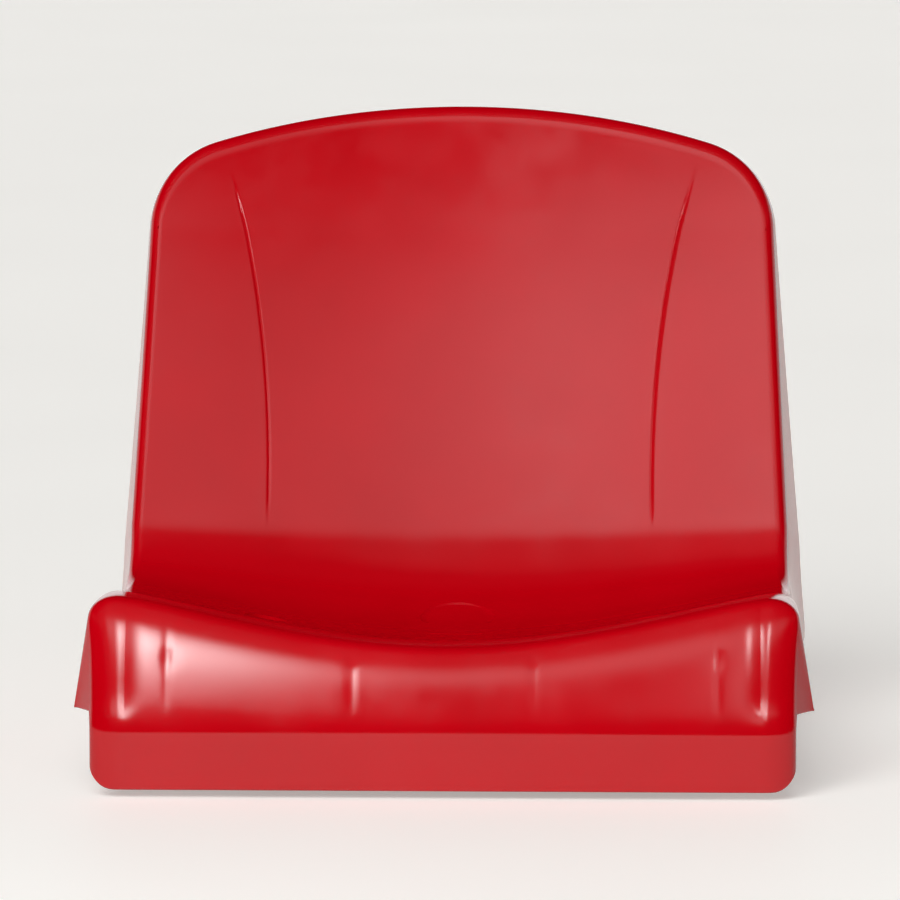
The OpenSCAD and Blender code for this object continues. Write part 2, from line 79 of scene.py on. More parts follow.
def facing(way):
    """The rotation of a camera or lamp that looks along a direction."""
    return Vector(way).to_track_quat("-Z", "Y").to_euler()


def show_box(name, box):
    print(name, "box in metres:", [[round(v, 4) for v in corner] for corner in box])


show_box("CAD", CAD_BOX)

# %% [markdown]
# The photograph was taken with a long lens, 4.3 m in front of the step, a little to the right of
# the seat and well above it. The camera stands there, and a longer lens fills the frame with the
# one seat at the same viewing angle.

# %% Set up the camera
CAMERA_PLACE = Vector((0.152, -4.41, 0.6155))
CAMERA_AIM = Vector((0.0, -0.02, 0.146))
FRAME_WIDTH = 0.56
SENSOR = 36.0

camera_data = bpy.data.cameras.new("camera")
camera_data.sensor_width = SENSOR
camera_data.lens = SENSOR * (CAMERA_AIM - CAMERA_PLACE).length / FRAME_WIDTH
camera = new_object("camera", camera_data)
camera.location, camera.rotation_euler = CAMERA_PLACE, facing(CAMERA_AIM - CAMERA_PLACE)
bpy.context.scene.camera = camera
print("lens in millimetres:", round(camera_data.lens, 1))

# %% [markdown]
# The shell is a surface that follows one line. Seen from the side, that middle line runs up the
# apron, over the nose, back along the pan and up the backrest. It is five cubic curves, end to end.
# A station counts along them: 0 to 1 is the apron, 1 to 2 the nose, 2 to 3 the front of the pan, 3
# to 4 the heel and 4 to 5 the backrest. Across the line, the surface rises to both sides like a
# dish. Formulas suit such a shape better than pushed points, because every edge stays fair. Sizes
# here are in millimetres, angles in degrees, and a pull says how far a curve's handles reach, as a
# share of its run.

# %% The middle line, from the side
WALL, RIM_R = 3.5, 7.0
FRONT_Y, EDGE_Y, TOP_Y = -167.0, -155.0, 237.0
CREASE_Z, APRON_Z, BACK_H = -8.0, -46.0, 345.0
RIM_Z = BACK_H - RIM_R
NOSE_TILT, NOSE_ROLL, NOSE_H = 13, 10.9, 40.0
PAN_SLOPE, LEAN_FOOT, LEAN_TOP = 7, 72.5, 78
HEEL_Y, HEEL_H = 167.0, 72.0
PAN_H, PAN_AHEAD = 25.0, 22
NOSE_PULL, PAN_PULL, HEEL_PULL, BACK_PULL = (0.95, 0.8), (0.28, 0.33), (0.6, 0.93), 0.34


def heading(angle):
    return np.array([math.cos(math.radians(angle)), math.sin(math.radians(angle))])


CREASE = np.array([FRONT_Y, CREASE_Z])
FOOT = np.array([FRONT_Y, APRON_Z])
BEND = np.array([FRONT_Y + (NOSE_H - CREASE_Z) * math.tan(math.radians(NOSE_TILT)), NOSE_H])
CREST = BEND + [NOSE_ROLL, 0]
HEEL = np.array([HEEL_Y, HEEL_H])
MIDDLE = np.array([(CREST[0] + HEEL[0]) / 2 - PAN_AHEAD, PAN_H])
TOP = np.array([TOP_Y, RIM_Z])
FRONT_RUN = MIDDLE[0] - CREST[0]
BACK_RISE = RIM_Z - HEEL[1]
CURVES = np.array([
    [FOOT, FOOT + (CREASE - FOOT) / 3, CREASE - (CREASE - FOOT) / 3, CREASE],
    [CREASE, CREASE + NOSE_PULL[0] * (BEND - CREASE), CREST + NOSE_PULL[1] * (BEND - CREST),
     CREST],
    [CREST, CREST + PAN_PULL[0] * FRONT_RUN * heading(0),
     MIDDLE - PAN_PULL[1] * FRONT_RUN * heading(-PAN_SLOPE), MIDDLE],
    [MIDDLE, MIDDLE + HEEL_PULL[0] * (HEEL[0] - MIDDLE[0]) * heading(-PAN_SLOPE),
     HEEL - HEEL_PULL[1] * HEEL[1] * heading(LEAN_FOOT), HEEL],
    [HEEL, HEEL + BACK_PULL * BACK_RISE * heading(LEAN_FOOT),
     TOP - BACK_PULL * BACK_RISE * heading(LEAN_TOP), TOP],
])


def line(s):
    """Point and unit direction of the middle line, in Y and Z, at stations s."""
    s = np.asarray(s, float)
    k = np.clip(np.floor(s), 0, 4).astype(int)
    t = (s - k)[..., None]
    c = CURVES[k]
    point = (1 - t) ** 3 * c[..., 0, :] + 3 * t * (1 - t) ** 2 * c[..., 1, :] \
        + 3 * t ** 2 * (1 - t) * c[..., 2, :] + t ** 3 * c[..., 3, :]
    slope = (1 - t) ** 2 * (c[..., 1, :] - c[..., 0, :]) \
        + 2 * t * (1 - t) * (c[..., 2, :] - c[..., 1, :]) + t ** 2 * (c[..., 3, :] - c[..., 2, :])
    return point, slope / np.linalg.norm(slope, axis=-1, keepdims=True)


def by_station(s, *values):
    """A value that eases from one whole station to the next."""
    t = s - np.floor(np.minimum(s, len(values) - 1.001))
    k = np.clip(np.floor(s), 0, len(values) - 2).astype(int)
    v = np.array(values)
    return v[k] + (v[k + 1] - v[k]) * t * t * (3 - 2 * t)


print("middle line ends at", np.round(line(4.9999)[0], 1))

# %% [markdown]
# The backrest's top edge is a shallow crown arc with a rounder corner arc at each end. Each column
# of the mesh ends on it, so its height has to be known for any place across.

# %% Width, dish and top edge
BACK_TOP_W, BACK_FOOT_W, FRONT_W = 404.0, 422.0, 428.0
CROWN_R, CORNER_R = 510.0 - RIM_R, 60.0 - RIM_R
DRAFT = math.radians(9)
APRON_CORNER_W, APRON_CORNER_D = 20.0, 9.0
NOSE_CORNER_W, NOSE_CORNER_D = 22.0, 16.0
HALF_TOP = BACK_TOP_W / 2 - RIM_R
HALF_FOOT = BACK_FOOT_W / 2 - RIM_R
HALF_FRONT = FRONT_W / 2 - APRON_CORNER_W - APRON_CORNER_D * math.sin(DRAFT)
HALF_NOSE = FRONT_W / 2 - NOSE_CORNER_W
HALF_PAN = FRONT_W / 2 - RIM_R
CORNER_X = HALF_TOP - CORNER_R
CORNER_FROM = math.asin(CORNER_X / (CROWN_R - CORNER_R))
CORNER_Z = RIM_Z - CROWN_R + (CROWN_R - CORNER_R) * math.cos(CORNER_FROM)
DISH_EASE = 0.4
NOSE_DISH, PAN_DISH, BACK_DISH = 29.0, 30.0, 24.0


def station_at(height_or_depth, axis, low, high):
    """Station where the middle line reaches a depth (axis 0) or a height (axis 1), by halving."""
    goal = np.asarray(height_or_depth, float)
    low, high = np.full(goal.shape, float(low)), np.full(goal.shape, float(high))
    for _ in range(30):
        middle = (low + high) / 2
        below = line(middle)[0][..., axis] < goal
        low, high = np.where(below, middle, low), np.where(below, high, middle)
    return (low + high) / 2


def edge_angle(x):
    """Angle from the vertical at which the top edge's arcs reach a distance x from the middle."""
    x = np.minimum(np.abs(x), HALF_TOP)
    crown = np.arcsin(np.clip(x / CROWN_R, -1, 1))
    corner = np.arcsin(np.clip((x - CORNER_X) / CORNER_R, -1, 1))
    return np.where(x <= CROWN_R * math.sin(CORNER_FROM), crown, corner)


def edge_height(x):
    a = edge_angle(x)
    return np.where(a <= CORNER_FROM + 1e-9, RIM_Z - CROWN_R + CROWN_R * np.cos(a),
                    CORNER_Z + CORNER_R * np.cos(a))


CORNER_S = float(station_at(CORNER_Z, 1, 4, 5))


def half_face(s):
    lower = by_station(s, HALF_FRONT, HALF_FRONT, HALF_NOSE, HALF_PAN, HALF_FOOT, HALF_FOOT)
    share = np.clip((s - 4) / (CORNER_S - 4), 0, 1)
    return np.where(s < 4, lower, HALF_FOOT + (HALF_TOP - HALF_FOOT) * share)


def dish(s):
    nose = NOSE_DISH * (line(np.clip(s, 1, 2))[0][..., 1] - CREASE_Z) / (CREST[1] - CREASE_Z)
    heel_dish = (PAN_DISH + BACK_DISH) / 2
    return np.where(s < 2, nose, by_station(s, 0, 0, NOSE_DISH, PAN_DISH, heel_dish, BACK_DISH))


def dish_shape(v):
    return v * v * (1 + DISH_EASE - DISH_EASE * v * v)


def dish_slope(v):
    return np.abs(v) * (2 + 2 * DISH_EASE - 4 * DISH_EASE * v * v)


def dish_way(s):
    """The dish rises along the nose's lean, then straight up, and square to the line behind."""
    s = np.asarray(s, float)
    d = line(s)[1]
    square = np.stack([-d[..., 1], d[..., 0]], -1)
    back = math.tan(math.radians(NOSE_TILT)) * by_station(s, 1, 1, 1, 0, 0, 0)
    upright = (s < 3) | (d[..., 1] < 0)
    return np.where(upright[..., None], np.stack([back, np.ones_like(back)], -1), square)


def face_point(v, s):
    p = line(s)[0] + (dish(s) * dish_shape(v))[..., None] * dish_way(s)
    return np.concatenate([(v * half_face(s))[..., None], p], -1)


print("top edge at the middle and at the corner:", edge_height(0), np.round(edge_height(190.0), 1))

# %% [markdown]
# The backrest carries two fine creases that start near the heel and run up and outwards, where the
# mould's middle panel meets its wings. A displacement texture would need a very dense mesh
# everywhere. Here one column of the mesh bends to follow each crease, and only the columns beside
# it stand close together, as they do at the ribs' sink marks.

# %% Place the columns across the shell
CREASE_COLUMN = 0.8
CREASE_LOW, CREASE_HIGH, CREASE_BEND = 0.61, 0.8, 2.2
CREASE_GAPS = (-6, -4, -2.8, -2, -1.3, -0.65, 0, 0.35, 0.7, 1.1, 1.6, 2.4, 3.4)
RIB_X = (55.0, 167.0)
RIB_REACH, RIB_GAP = (8, 6), (2, 1.5)
PLAIN_GAP, CLEAR_GAP, LEAST_GAP = 0.025, 0.011, 0.0006
ROUND_ANGLES = 15


def crease_share(s, t):
    """How far out the crease lies at a station, as a share of the half width."""
    return CREASE_LOW + (CREASE_HIGH - CREASE_LOW) * np.where(s > 4, t, 0) ** CREASE_BEND


def share_of(u, g):
    inner = u * g / CREASE_COLUMN
    outer = g + (u - CREASE_COLUMN) * (1 - g) / (1 - CREASE_COLUMN)
    return np.where(u <= CREASE_COLUMN, inner, outer)


def column_of(v, g):
    inner = v * CREASE_COLUMN / g
    outer = CREASE_COLUMN + (v - g) * (1 - CREASE_COLUMN) / (1 - g)
    return np.where(v <= g, inner, outer)


beside_crease = CREASE_COLUMN + np.array(CREASE_GAPS) / 200
beside_ribs = [column_of((x + offset) / HALF_NOSE, CREASE_LOW)
               for x, reach, step in zip(RIB_X, RIB_REACH, RIB_GAP)
               for offset in np.arange(-reach, reach + 0.1, step)]
corner_angles = np.linspace(CORNER_FROM, math.pi / 2, ROUND_ANGLES)[1:]
round_corner = (CORNER_X + CORNER_R * np.sin(corner_angles)) / HALF_TOP
fine = np.concatenate([beside_crease, beside_ribs, round_corner])
plain = np.array([u for u in np.arange(0, 1, PLAIN_GAP) if np.abs(fine - u).min() > CLEAR_GAP])
HALF_COLUMNS = [0.0]
for u in np.sort(np.concatenate([plain[plain > 0], fine])):
    if u - HALF_COLUMNS[-1] > LEAST_GAP:
        HALF_COLUMNS.append(float(u))
HALF_COLUMNS[-1] = 1.0
COLUMNS = np.array([-u for u in HALF_COLUMNS[:0:-1]] + HALF_COLUMNS)
print("columns:", len(COLUMNS))

# %% [markdown]
# The rows are stations along the middle line. They are a few millimetres apart, and closer at the
# crease across the front, which is rounded off later.

# %% Place the rows along the shell
CREASE_REACH, CREASE_ROWS, ROW_COUNTS = 4.0, 7, (12, 24, 28, 50, 60)


def stretch_length(k):
    p = line(np.linspace(k, k + 0.9999, 200))[0]
    return float(np.linalg.norm(np.diff(p, axis=0), axis=1).sum())


round_below = 1 - np.linspace(CREASE_REACH, 0, CREASE_ROWS // 2 + 1)[:-1] / stretch_length(0)
round_above = 1 + np.linspace(0, CREASE_REACH, CREASE_ROWS // 2 + 1) / stretch_length(1)
ROWS = np.concatenate([
    np.linspace(0, round_below[0], ROW_COUNTS[0] + 1)[:-1], round_below, round_above,
    np.linspace(round_above[-1], 2, ROW_COUNTS[1] + 1)[1:],
    *[np.linspace(k, k + 1, ROW_COUNTS[k] + 1)[1:] for k in (2, 3, 4)]])
FIRST_ROUND = int(np.argmin(np.abs(ROWS - round_below[0])))
NC, NR = len(COLUMNS) - 1, len(ROWS) - 1
print("rows:", len(ROWS), "of stretches", [round(stretch_length(k)) for k in range(5)], "mm long")

# %% [markdown]
# Every point of the face follows from its column and its row. Its normal comes from its neighbours,
# as the cross product of the two directions in which the grid runs.

# %% The face, and normals for any grid
U, T = np.meshgrid(COLUMNS, np.clip(ROWS - 4, 0, 1), indexing="ij")
ENDS = station_at(edge_height(COLUMNS * HALF_TOP), 1, 4, 5)
STATIONS = np.where(ROWS[None, :] <= 4, ROWS[None, :], 4 + T * (ENDS[:, None] - 4))
SHARES = np.sign(U) * share_of(np.abs(U), crease_share(STATIONS, T))


def grid_normals(g):
    way_1 = np.concatenate([g[1:2] - g[:1], g[2:] - g[:-2], g[-1:] - g[-2:-1]])
    way_2 = np.concatenate([g[:, 1:2] - g[:, :1], g[:, 2:] - g[:, :-2], g[:, -1:] - g[:, -2:-1]], 1)
    n = np.cross(way_1, way_2)
    return n / np.linalg.norm(n, axis=-1, keepdims=True)


FACE = face_point(SHARES, STATIONS)
print("face spans", np.round(FACE.min((0, 1)), 1), "to", np.round(FACE.max((0, 1)), 1), "mm")

# %% [markdown]
# Round the pan and the backrest the edge rolls over, and a wall runs on behind it. It is the flange
# at the top, the skirts that stand on the step and, beside the apron, short returns. A swept
# profile wouldn't do, because the roll changes its width and depth along the way, so the rim is a
# second grid that starts on the face's border and runs up the left side, over the top and down the
# right. The roll turns square to the middle line, except beside the nose, whose own crest is
# tighter than the roll is deep. There its direction swings evenly with the height, from back to
# down.

# %% The rolled rim
FLANGE_D, SKIRT_BACK, SKIRT_ROUND = 10.0, 30.0, 25.0
RISER_Y = EDGE_Y - 1.0
APRON_R, APRON_RETURN = 15.0, 2.0
ROLL_STEPS, WALL_STEPS = 10, 6
rim_col = np.concatenate([np.zeros(NR, int), np.arange(NC + 1), np.full(NR, NC)])
rim_row = np.concatenate([np.arange(NR), np.full(NC + 1, NR), np.arange(NR - 1, -1, -1)])
rim_s = STATIONS[rim_col, rim_row]
rim_u = COLUMNS[rim_col]
rim_side = np.sign(rim_u)
rim_top = rim_row == NR


def in_space(yz):
    return np.concatenate([np.zeros(yz.shape[:-1] + (1,)), yz], -1)


def length(a):
    return np.linalg.norm(a, axis=-1, keepdims=True)


way = line(rim_s)[1]
square = np.stack([-way[:, 1], way[:, 0]], -1)
angle = edge_angle(rim_u * HALF_TOP)
SIDEWAYS = np.array([1.0, 0.0, 0.0])
over_top = (rim_side * np.sin(angle))[:, None] * SIDEWAYS + np.cos(angle)[:, None] * in_space(way)
outward = np.where(rim_top[:, None], over_top, rim_side[:, None] * SIDEWAYS)
tilt = np.abs(outward[:, 0]) * dish_slope(np.abs(rim_u)) * dish(rim_s) / half_face(rim_s)
outward_face = outward + tilt[:, None] * in_space(dish_way(rim_s))
outward_face /= length(outward_face)
swing = math.pi * (1 - (line(rim_s)[0][:, 1] - CREASE_Z) / (NOSE_H - CREASE_Z) / 2)
roll_way = np.where(((rim_s > 1) & (rim_s < 2))[:, None],
                    np.stack([np.cos(swing), np.sin(swing)], -1), square)
inward = outward * math.sin(DRAFT) - in_space(roll_way) * math.cos(DRAFT)
roll_w, roll_d = (by_station(rim_s, low, low, high, RIM_R, RIM_R, RIM_R)[:, None] for low, high in
                  ((APRON_CORNER_W, NOSE_CORNER_W), (APRON_CORNER_D, NOSE_CORNER_D)))


def roll_point(a):
    """The rim's points at one angle of its roll."""
    return FACE[rim_col, rim_row] + roll_w * math.sin(a) * outward_face \
        + roll_d * (1 - math.cos(a)) * inward


rim_back = roll_point(math.pi / 2)
print("rim points along the edge:", len(rim_s))

# %% [markdown]
# The wall behind the roll stops at the riser beside the apron, stands on the step along the skirts,
# and then climbs from the skirt's rear corner to the flange of the backrest.

# %% The wall behind the rim
flange_end = rim_back[NR] - FLANGE_D * in_space(square[NR])
crest_end = rim_back[int(np.argmin(np.abs(ROWS - 2)))]
rear_y = HEEL[0] + SKIRT_BACK
rear_climb = (flange_end[1] - rear_y) / flange_end[2]
up = np.clip(way[:, 1], 0, None)
ahead = np.sqrt(np.clip(1 - up * up, 0, None))
to_step = rim_back[:, 2] / np.maximum(ahead, 0.01)
to_rear = (rear_y + rear_climb * rim_back[:, 2] - rim_back[:, 1]) / (up + rear_climb * ahead)
wall_length = np.minimum(to_step, to_rear) \
    - np.clip(SKIRT_ROUND - np.abs(to_step - to_rear), 0, None) ** 2 / (4 * SKIRT_ROUND)
wall_end = rim_back + wall_length[:, None] * np.stack([0 * up, up, -ahead], -1)
nose_end = RISER_Y + (crest_end[1] - RISER_Y) * rim_back[:, 2] / crest_end[2]
beside_apron = (rim_s <= 1) | (rim_back[:, 2] <= 0)
beside_nose = np.stack([rim_back[:, 0], nose_end, 0 * nose_end], -1)
at_riser = np.stack([rim_back[:, 0], 0 * nose_end + RISER_Y, rim_back[:, 2]], -1)
wall_end = np.where((rim_s < 2)[:, None], beside_nose, wall_end)
wall_end = np.where(beside_apron[:, None], at_riser, wall_end)
wall_end = np.where(rim_top[:, None], rim_back + FLANGE_D * inward, wall_end)
flare = np.where(rim_top, 0, rim_side * length(wall_end - rim_back)[:, 0] * math.tan(DRAFT))
wall_end = wall_end + flare[:, None] * SIDEWAYS
RIM = np.stack(
    [roll_point(math.pi / 2 * j / ROLL_STEPS) for j in range(ROLL_STEPS + 1)]
    + [rim_back + (wall_end - rim_back) * j / WALL_STEPS for j in range(1, WALL_STEPS + 1)], 1)
NB, NW = len(rim_s) - 1, ROLL_STEPS + WALL_STEPS
print("shell spans", np.round(RIM.min((0, 1)), 1), "to", np.round(RIM.max((0, 1)), 1), "mm")

# %% [markdown]
# The apron's lower corners are rounded off by lifting the ends of its lower edge. The crease across
# the front is a moulded edge with a small radius: its rows are moved onto a parabola between the
# rows on either side.

# %% Round the apron's corners and the crease
HALF_APRON = FRONT_W / 2 + APRON_RETURN * math.tan(DRAFT)


def lift(points, s):
    past = np.clip((np.abs(points[..., 0]) - (HALF_APRON - APRON_R)) / APRON_R, 0, 1)
    edge = APRON_Z + APRON_R - APRON_R * np.sqrt(1 - past ** 2)
    lifted = edge + (CREASE_Z - edge) * s
    return np.concatenate([points[..., :2], np.where(s > 1, points[..., 2], lifted)[..., None]], -1)


def round_crease(rows):
    """Move the crease's rows, which come first in an array of points, onto a parabola."""
    low, high = FIRST_ROUND, FIRST_ROUND + CREASE_ROWS - 1
    first, corner, last = (rows[k].copy() for k in (low, (low + high) // 2, high))
    for k in range(low + 1, high):
        t = (k - low) / (high - low)
        rows[k] = (1 - t) ** 2 * first + 2 * t * (1 - t) * corner + t * t * last


FACE = lift(FACE, STATIONS)
RIM = lift(RIM, np.broadcast_to(rim_s[:, None], RIM.shape[:2]))
round_crease(FACE.swapaxes(0, 1))
round_crease(RIM)
round_crease(RIM[::-1])
FACE_N, RIM_N = grid_normals(FACE), grid_normals(RIM)
print("crease at y", round(float(FACE[NC // 2, FIRST_ROUND + CREASE_ROWS // 2, 1]), 2), "mm")

# %% [markdown]
# The wall has the same thickness everywhere, so the inner surface is the outer one moved inwards
# along its normals. Only then do the fine details come onto the outer surface. Those are the two
# creases, and the faint sinks that form opposite thick ribs when hot plastic shrinks. A Gaussian
# curve gives both.

# %% Creases and sink marks
GROOVE_DEPTH, GROOVE_WIDTH, GROOVE_LIP = 0.5, 0.8, 0.04
LIP_PLACE, LIP_WIDTH = 2.6, 1.8
SINK_DEPTH, SINK_WIDTH = 0.16, 2.4
SINK_KNOT_DEPTH, SINK_KNOT_Z, SINK_KNOT_R = 0.3, 33.0, 4.0
TURN_FROM, TURN_R = 178.0, 100.0
GROOVE_IN, GROOVE_OUT = (0.01, 0.09), (0.82, 0.95)
SINK_IN, SINK_OUT = (1.02, 1.12), (1.5, 1.75)
TURN_IN, TURN_OUT = (1, 1.1), (1.8, 2.2)


def rise(x, start, end):
    t = np.clip((x - start) / (end - start), 0, 1)
    return t * t * (3 - 2 * t)


def relief(shares, s, t, points):
    """Height of the fine details above the plain face, in millimetres."""
    offset = (np.abs(shares) - crease_share(s, t)) * half_face(s)
    shown = np.where(s > 4, rise(t, *GROOVE_IN) * (1 - rise(t, *GROOVE_OUT)), 0)
    groove = GROOVE_LIP * np.exp(-((offset - LIP_PLACE) / LIP_WIDTH) ** 2) \
        - GROOVE_DEPTH * np.exp(-(offset / GROOVE_WIDTH) ** 2)
    height = shown * groove
    x, z = np.abs(points[..., 0]), points[..., 2]
    on_nose = rise(s, *SINK_IN) * (1 - rise(s, *SINK_OUT))
    for rib in RIB_X:
        sink = SINK_DEPTH * np.exp(-((x - rib) / SINK_WIDTH) ** 2)
        from_knot = (x - rib) ** 2 + (z - SINK_KNOT_Z) ** 2
        knot = SINK_KNOT_DEPTH * np.exp(-from_knot / SINK_KNOT_R ** 2)
        height = height - on_nose * sink - np.where((s > 1) & (s < 2), knot, 0)
    return height


def nose_turn(x, s):
    """How far the nose's face falls back towards its corners, in millimetres."""
    turned = np.clip(np.abs(x) - TURN_FROM, 0, None) ** 2 / (2 * TURN_R)
    return turned * rise(s, *TURN_IN) * (1 - rise(s, *TURN_OUT))


def flat_on_step(points, normals):
    """Normals of the wall's last line, made level where it stands on the step."""
    level = normals * [1, 1, 0]
    level /= np.maximum(length(level), 1e-9)
    return np.where(np.abs(points[:, 2:]) < 0.01, level, normals)


wall_n = RIM_N.copy()
wall_n[:, -1] = flat_on_step(RIM[:, -1], RIM_N[:, -1])
FACE_IN, RIM_IN = FACE - WALL * FACE_N, RIM - WALL * wall_n
height = relief(SHARES, STATIONS, T, FACE) - nose_turn(FACE[..., 0], STATIONS)
FACE_OUT = FACE + height[..., None] * FACE_N
fading = np.linspace(1, 0, NW + 1)[:, None]
rim_turn = nose_turn(FACE[rim_col, rim_row, 0], rim_s)[:, None, None]
RIM_OUT = RIM - rim_turn * fading * FACE_N[rim_col, rim_row][:, None]
RIM_OUT[:, 0] = FACE_OUT[rim_col, rim_row]
print("deepest detail:", round(float(height.min()), 2), "mm")

# %% [markdown]
# The two surfaces meet at the free edge, which a mould leaves slightly rounded. The edge gets two
# extra lines of points, and the surfaces' own last lines draw back a little, which makes a small
# bevel.

# %% Join the surfaces into one closed mesh
EDGE_BEVEL = 0.7
face_count = (NC + 1) * (NR + 1)
half_count = face_count + (NB + 1) * NW


def face_index(i, j):
    return i * (NR + 1) + j


def rim_index(k, j):
    return np.where(j == 0, face_index(rim_col[k], rim_row[k]), face_count + k * NW + j - 1)


def quads(a, b, c, d):
    return np.stack([a, b, c, d], -1).reshape(-1, 4)


def grid_faces(index, n, m):
    """Faces between the points of a grid. A function gives each point's index."""
    a, b = np.meshgrid(np.arange(n - 1), np.arange(m - 1), indexing="ij")
    return quads(index(a, b), index(a + 1, b), index(a + 1, b + 1), index(a, b + 1))


outer_faces = np.concatenate([grid_faces(face_index, NC + 1, NR + 1),
                              grid_faces(rim_index, NB + 1, NW + 1)])
steps = np.arange(1, NW + 1)
edge, before = (np.concatenate([
    face_index(np.arange(NC + 1), line_in), rim_index(np.full(NW, NB - line_in), steps),
    rim_index(np.arange(NB - 1, -1, -1), np.full(NB, NW - line_in)),
    rim_index(np.full(NW - 1, line_in), steps[-2::-1])]) for line_in in (0, 1))
outer = np.concatenate([FACE_OUT.reshape(-1, 3), RIM_OUT[:, 1:].reshape(-1, 3)])
inner = np.concatenate([FACE_IN.reshape(-1, 3), RIM_IN[:, 1:].reshape(-1, 3)])
past = (outer[edge] - outer[before]) / length(outer[edge] - outer[before])
through = (inner[edge] - outer[edge]) / length(inner[edge] - outer[edge])
lip_out, lip_in = outer[edge] + EDGE_BEVEL * through, inner[edge] - EDGE_BEVEL * through
outer[edge] -= EDGE_BEVEL * past
inner[edge] -= EDGE_BEVEL * past
ring = np.arange(len(edge))
following = (ring + 1) % len(edge)
lip = 2 * half_count + ring, 2 * half_count + len(edge) + ring
SHELL_POINTS = np.concatenate([outer, inner, lip_out, lip_in])
SHELL_FACES = np.concatenate([
    outer_faces, outer_faces[:, ::-1] + half_count,
    quads(edge, lip[0], lip[0][following], edge[following]),
    quads(lip[0], lip[1], lip[1][following], lip[0][following]),
    quads(lip[1], edge + half_count, edge[following] + half_count, lip[1][following])])


def make_piece(name, points, faces):
    """A new object from points in millimetres."""
    mesh = bpy.data.meshes.new(name)
    faces = faces if isinstance(faces, list) else faces.tolist()
    mesh.from_pydata((np.asarray(points) * MM).tolist(), [], faces)
    mesh.validate()
    return new_object(name, mesh)


def volume_of(piece):
    """Volume in cubic centimetres, and whether the mesh is closed."""
    form = bmesh.new()
    form.from_mesh(piece.data)
    closed = all(e.is_manifold for e in form.edges)
    result = form.calc_volume(signed=True) * 1e6
    form.free()
    return round(result, 1), closed


shell = make_piece("shell", SHELL_POINTS, SHELL_FACES)
print("shell wall:", len(SHELL_FACES), "faces, volume and closed:", volume_of(shell))

# %% [markdown]
# Ribs, bosses and anchors all repeat on a grid, so one Geometry Nodes tree serves them. It takes
# the object's own mesh, copies it onto the points of a grid that is centred on the origin, and
# makes the copies real. Small helpers give a node its inputs, add a node, and do sums.

# %% One tree that repeats a form on a grid
def plug(node, **inputs):
    """Give a node its inputs: values, outputs of other nodes, or nodes for their first outputs."""
    for name, value in inputs.items():
        numbered = name[0] == "i" and name[1:].isdigit()
        socket = node.inputs[int(name[1:]) if numbered else name.replace("_", " ")]
        value = value.outputs[0] if isinstance(value, bpy.types.Node) else value
        if isinstance(value, bpy.types.NodeSocket):
            node.id_data.links.new(value, socket)
        else:
            socket.default_value = value


def add(tree, kind, settings=(), **inputs):
    node = tree.nodes.new(kind)
    for name, value in dict(settings).items():
        setattr(node, name, value)
    plug(node, **inputs)
    return node


def calc(tree, operation, *values):
    """A Math node."""
    inputs = {"i" + str(n): value for n, value in enumerate(values)}
    return add(tree, "ShaderNodeMath", {"operation": operation}, **inputs)


def grid_tree():
    tree = bpy.data.node_groups.new("repeat_on_a_grid", "GeometryNodeTree")
    sockets = {}
    for name, kind in (("Form", "Geometry"), ("Across", "Int"), ("Gap across", "Float"),
                       ("Deep", "Int"), ("Gap deep", "Float")):
        sockets[name] = tree.interface.new_socket(name, socket_type="NodeSocket" + kind)
    tree.interface.new_socket("Copies", in_out="OUTPUT", socket_type="NodeSocketGeometry")
    given = tree.nodes.new("NodeGroupInput").outputs
    rows = []
    for count, gap, axis in (("Across", "Gap across", "X"), ("Deep", "Gap deep", "Y")):
        whole = calc(tree, "MULTIPLY", calc(tree, "SUBTRACT", given[count], 1.0), given[gap])
        start = add(tree, "ShaderNodeCombineXYZ", **{axis: calc(tree, "MULTIPLY", whole, -0.5)})
        step = add(tree, "ShaderNodeCombineXYZ", **{axis: given[gap]})
        rows.append(add(tree, "GeometryNodeMeshLine", Count=given[count], Start_Location=start,
                        Offset=step))
    grid = add(tree, "GeometryNodeInstanceOnPoints", Points=rows[1], Instance=rows[0])
    points = add(tree, "GeometryNodeRealizeInstances", Geometry=grid)
    copies = add(tree, "GeometryNodeInstanceOnPoints", Points=points, Instance=given["Form"])
    real = add(tree, "GeometryNodeRealizeInstances", Geometry=copies)
    add(tree, "NodeGroupOutput", Copies=real)
    return tree, {name: socket.identifier for name, socket in sockets.items()}


GRID_TREE, GRID_INPUTS = grid_tree()


def settle(piece):
    """Replace a piece's live modifiers by the plain mesh that they make."""
    bpy.context.view_layer.update()
    graph = bpy.context.evaluated_depsgraph_get()
    mesh = bpy.data.meshes.new_from_object(piece.evaluated_get(graph))
    old = piece.data
    piece.modifiers.clear()
    piece.data = mesh
    bpy.data.meshes.remove(old)
    mesh.name = piece.name


def repeat(piece, across, gap_across, deep, gap_deep):
    """Repeat a piece on a grid, with gaps in millimetres."""
    modifier = piece.modifiers.new("repeat", "NODES")
    modifier.node_group = GRID_TREE
    for name, value in (("Across", across), ("Gap across", gap_across * MM), ("Deep", deep),
                        ("Gap deep", gap_deep * MM)):
        modifier[GRID_INPUTS[name]] = value
    settle(piece)
    return piece


print("the tree's inputs:", ", ".join(GRID_INPUTS))

# %% [markdown]
# Under the pan, ribs stand on the step and carry the load. Two pairs run from the nose to the heel
# and three run across, and four bosses surround the anchors. Each is drawn too tall, and together
# they are cut to the block below the middle of the wall, so that their tops end inside the shell.

# %% Draw the ribs and the bosses
RIB_T, RIB_LOW, RIB_TOP, RIB_END_Y = 3.0, -5.0, 120.0, 143.0
FIX_DX, FIX_DY, BOSS_R = 240.0, 110.0, 16.5
ROUND_STEPS = 64


